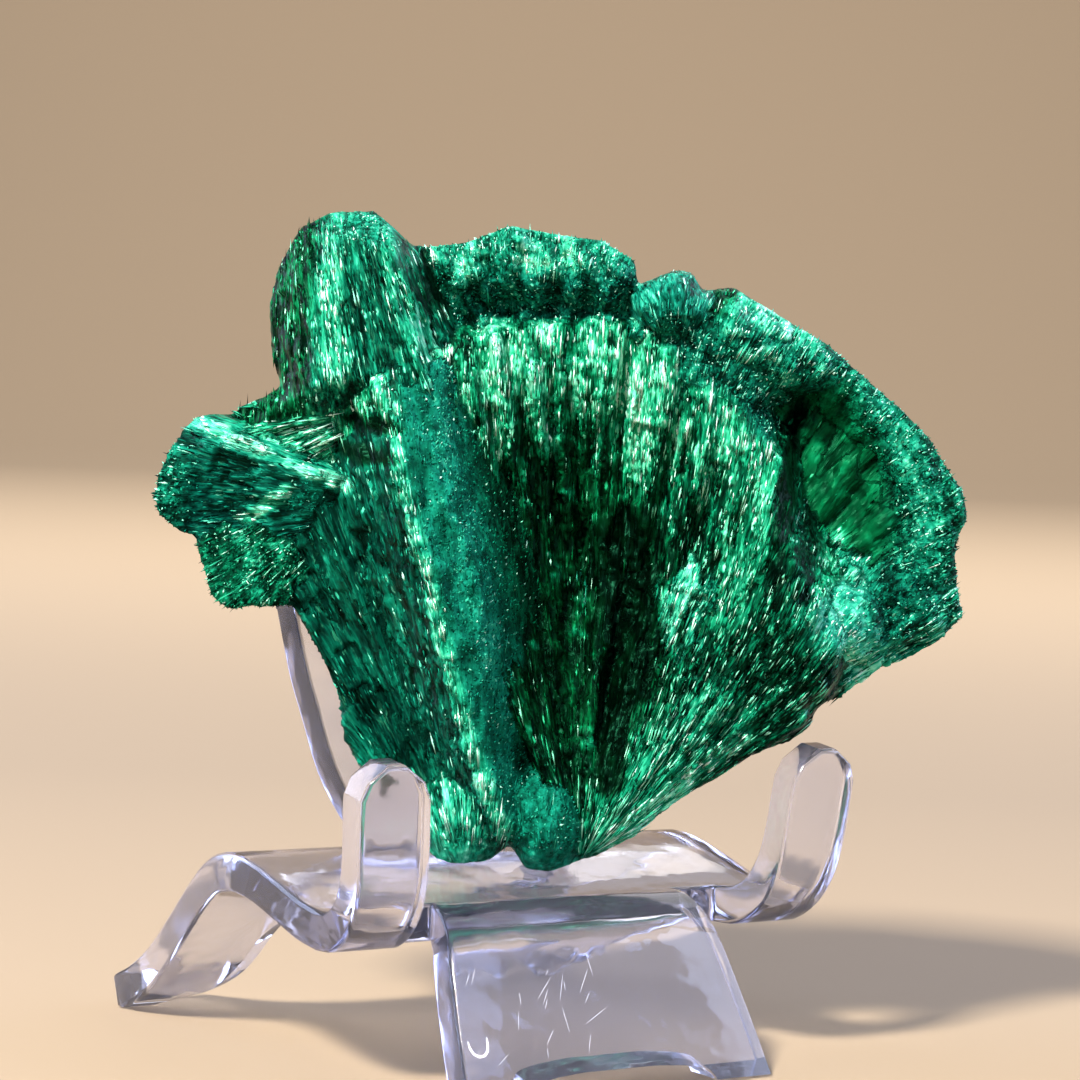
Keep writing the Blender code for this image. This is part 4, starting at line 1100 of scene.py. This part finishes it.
# Studio
def lay_floor():
    """Pale floor that sweeps up into a backdrop well behind the specimen."""
    bpy.ops.object.select_all(action="DESELECT")
    bpy.ops.mesh.primitive_plane_add(size=1.0, location=(0, 0, 0))
    floor = bpy.context.object
    floor.name = "studio_floor"
    for vertex in floor.data.vertices:
        vertex.co = Vector((vertex.co.x * 6.0, vertex.co.y * 3.0 - 0.3, -0.0002))
    select_vertices(floor, lambda co: co.y > 0)
    for step in range(1, 13):
        turn = math.radians(90 * (step - 0.5) / 12)
        bpy.ops.mesh.extrude_region_move(TRANSFORM_OT_translate={
            "value": (0, 0.09 * math.cos(turn), 0.09 * math.sin(turn))})
    bpy.ops.mesh.extrude_region_move(TRANSFORM_OT_translate={"value": (0, 0, 1.6)})
    bpy.ops.object.mode_set(mode="OBJECT")
    bpy.ops.object.shade_smooth()
    floor.data.transform(Matrix.Rotation(math.radians(VIEW_TURN), 4, "Z"))
    finish, tree, shader = new_finish("matt_studio_paper")
    shader.inputs["Base Color"].default_value = linear_colour("#9c8a70")
    shader.inputs["Roughness"].default_value = 0.9
    floor.data.materials.append(finish)


def view_axes():
    """Right, up and back of the camera."""
    turn, rise, roll = (math.radians(angle) for angle in (VIEW_TURN, VIEW_RISE, VIEW_ROLL))
    back = Vector((math.sin(turn) * math.cos(rise), -math.cos(turn) * math.cos(rise), math.sin(rise)))
    level = Vector((math.cos(turn), math.sin(turn), 0.0))
    up = back.cross(level)
    return level * math.cos(roll) + up * math.sin(roll), up * math.cos(roll) - level * math.sin(roll), back


def aim_camera():
    right, up, back = view_axes()
    target = Vector(VIEW_TARGET) * MM + Vector(((STAND_LOW.x + STAND_HIGH.x) / 2, STAND_LOW.y + 10.25 * MM, 0.0))
    data = bpy.data.cameras.new("camera")
    data.sensor_width = SENSOR
    data.lens = LENS
    data.clip_start = 0.001
    camera = bpy.data.objects.new("camera", data)
    camera.matrix_world = Matrix.Translation(target + back * VIEW_AWAY) @ Matrix((right, up, back)).transposed().to_4x4()
    bpy.context.scene.collection.objects.link(camera)
    bpy.context.scene.camera = camera


def hang_light(name, across, height, ahead, size, power, code, aim=(0.0, 0.035, 0.0)):
    """A soft square light and its aim, both as metres across to the camera's right, up, and ahead towards it."""
    right, up, back = view_axes()
    level_back = Vector((back.x, back.y, 0)).normalized()
    data = bpy.data.lights.new(name, "AREA")
    data.size = size
    data.energy = power
    data.color = linear_colour(code)[:3]
    lamp = bpy.data.objects.new(name, data)
    sideways = Vector((right.x, right.y, 0)).normalized()
    place = sideways * across + level_back * ahead + Vector((0, 0, height))
    middle = sideways * aim[0] + level_back * aim[2] + Vector((0, 0, aim[1]))
    lamp.location = place
    lamp.rotation_euler = (middle - place).to_track_quat("-Z", "Y").to_euler()
    bpy.context.scene.collection.objects.link(lamp)


def light_studio():
    hang_light("key_light", -0.22, 0.46, 0.40, 0.09, 10.0, "#fff6ec")
    hang_light("fill_light", 0.50, 0.25, 0.40, 0.40, 0.6, "#eef2ff")
    hang_light("back_light", 0.20, 0.60, -0.55, 0.50, 1.2, "#ffffff")
    hang_light("left_glow", -0.85, 0.42, -0.30, 0.80, 9.0, "#ccd8ff")
    hang_light("right_glow", 0.85, 0.42, -0.30, 0.80, 9.0, "#ccd8ff")
    hang_light("backdrop_light", 0.0, 0.75, -0.45, 0.60, 15.0, "#fff4e4", aim=(0.0, 0.30, -1.6))
    world = bpy.data.worlds.new("studio_air")
    world.use_nodes = True
    world.node_tree.nodes["Background"].inputs["Color"].default_value = linear_colour("#d6dcf8")
    world.node_tree.nodes["Background"].inputs["Strength"].default_value = 0.65
    bpy.context.scene.world = world


def finish_stone_piece(piece, finish):
    """Puts a piece of the stone, shaped in the stone's own frame, in its place on the stand."""
    piece.data.transform(STONE_PLACE)
    piece.data.materials.clear()
    piece.data.materials.append(finish)
    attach(piece, "root")


lay_floor()
aim_camera()
light_studio()
mark_stand(mould_stand(make_clear_plastic()), make_scored_plastic())

malachite_body = grow_body()
carve_ribs(malachite_body)
skin = Skin(malachite_body)
needle_shape = model_needle()
spark, velvet = skin.silk["spark"], skin.silk["velvet"]
is_back = skin.layer == BACK
is_fan = skin.layer == FAN
loose = (0.02 + spark ** 1.5) * (1 - 0.7 * velvet)
needles = [
    lay_needles("fan_needles", skin, needle_shape, 11000, is_fan * loose, 1, (0.5, 1.7), (0.12, 0.26), sway=1.5),
    lay_needles("sheaf_needles", skin, needle_shape, 9000, (~is_fan & ~is_back) * loose, 2, (0.5, 1.6), (0.12, 0.26)),
    lay_needles("velvet_pile", skin, needle_shape, 16000, ~is_back * (0.01 + velvet), 3,
                (0.2, 0.45), (0.10, 0.20), sway=20.0, pile=0.4),
    lay_needles("back_needles", skin, needle_shape, 9000, is_back * loose, 4, (0.4, 1.2), (0.10, 0.20)),
]
silky_malachite = make_silky_malachite()
crystal_needles = make_crystal_needles()
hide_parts("malachite")
finish_stone_piece(malachite_body, silky_malachite)
for piece in needles:
    finish_stone_piece(piece, crystal_needles)
malachite_body.data.shade_smooth()

bpy.context.scene.view_settings.view_transform = "Standard"
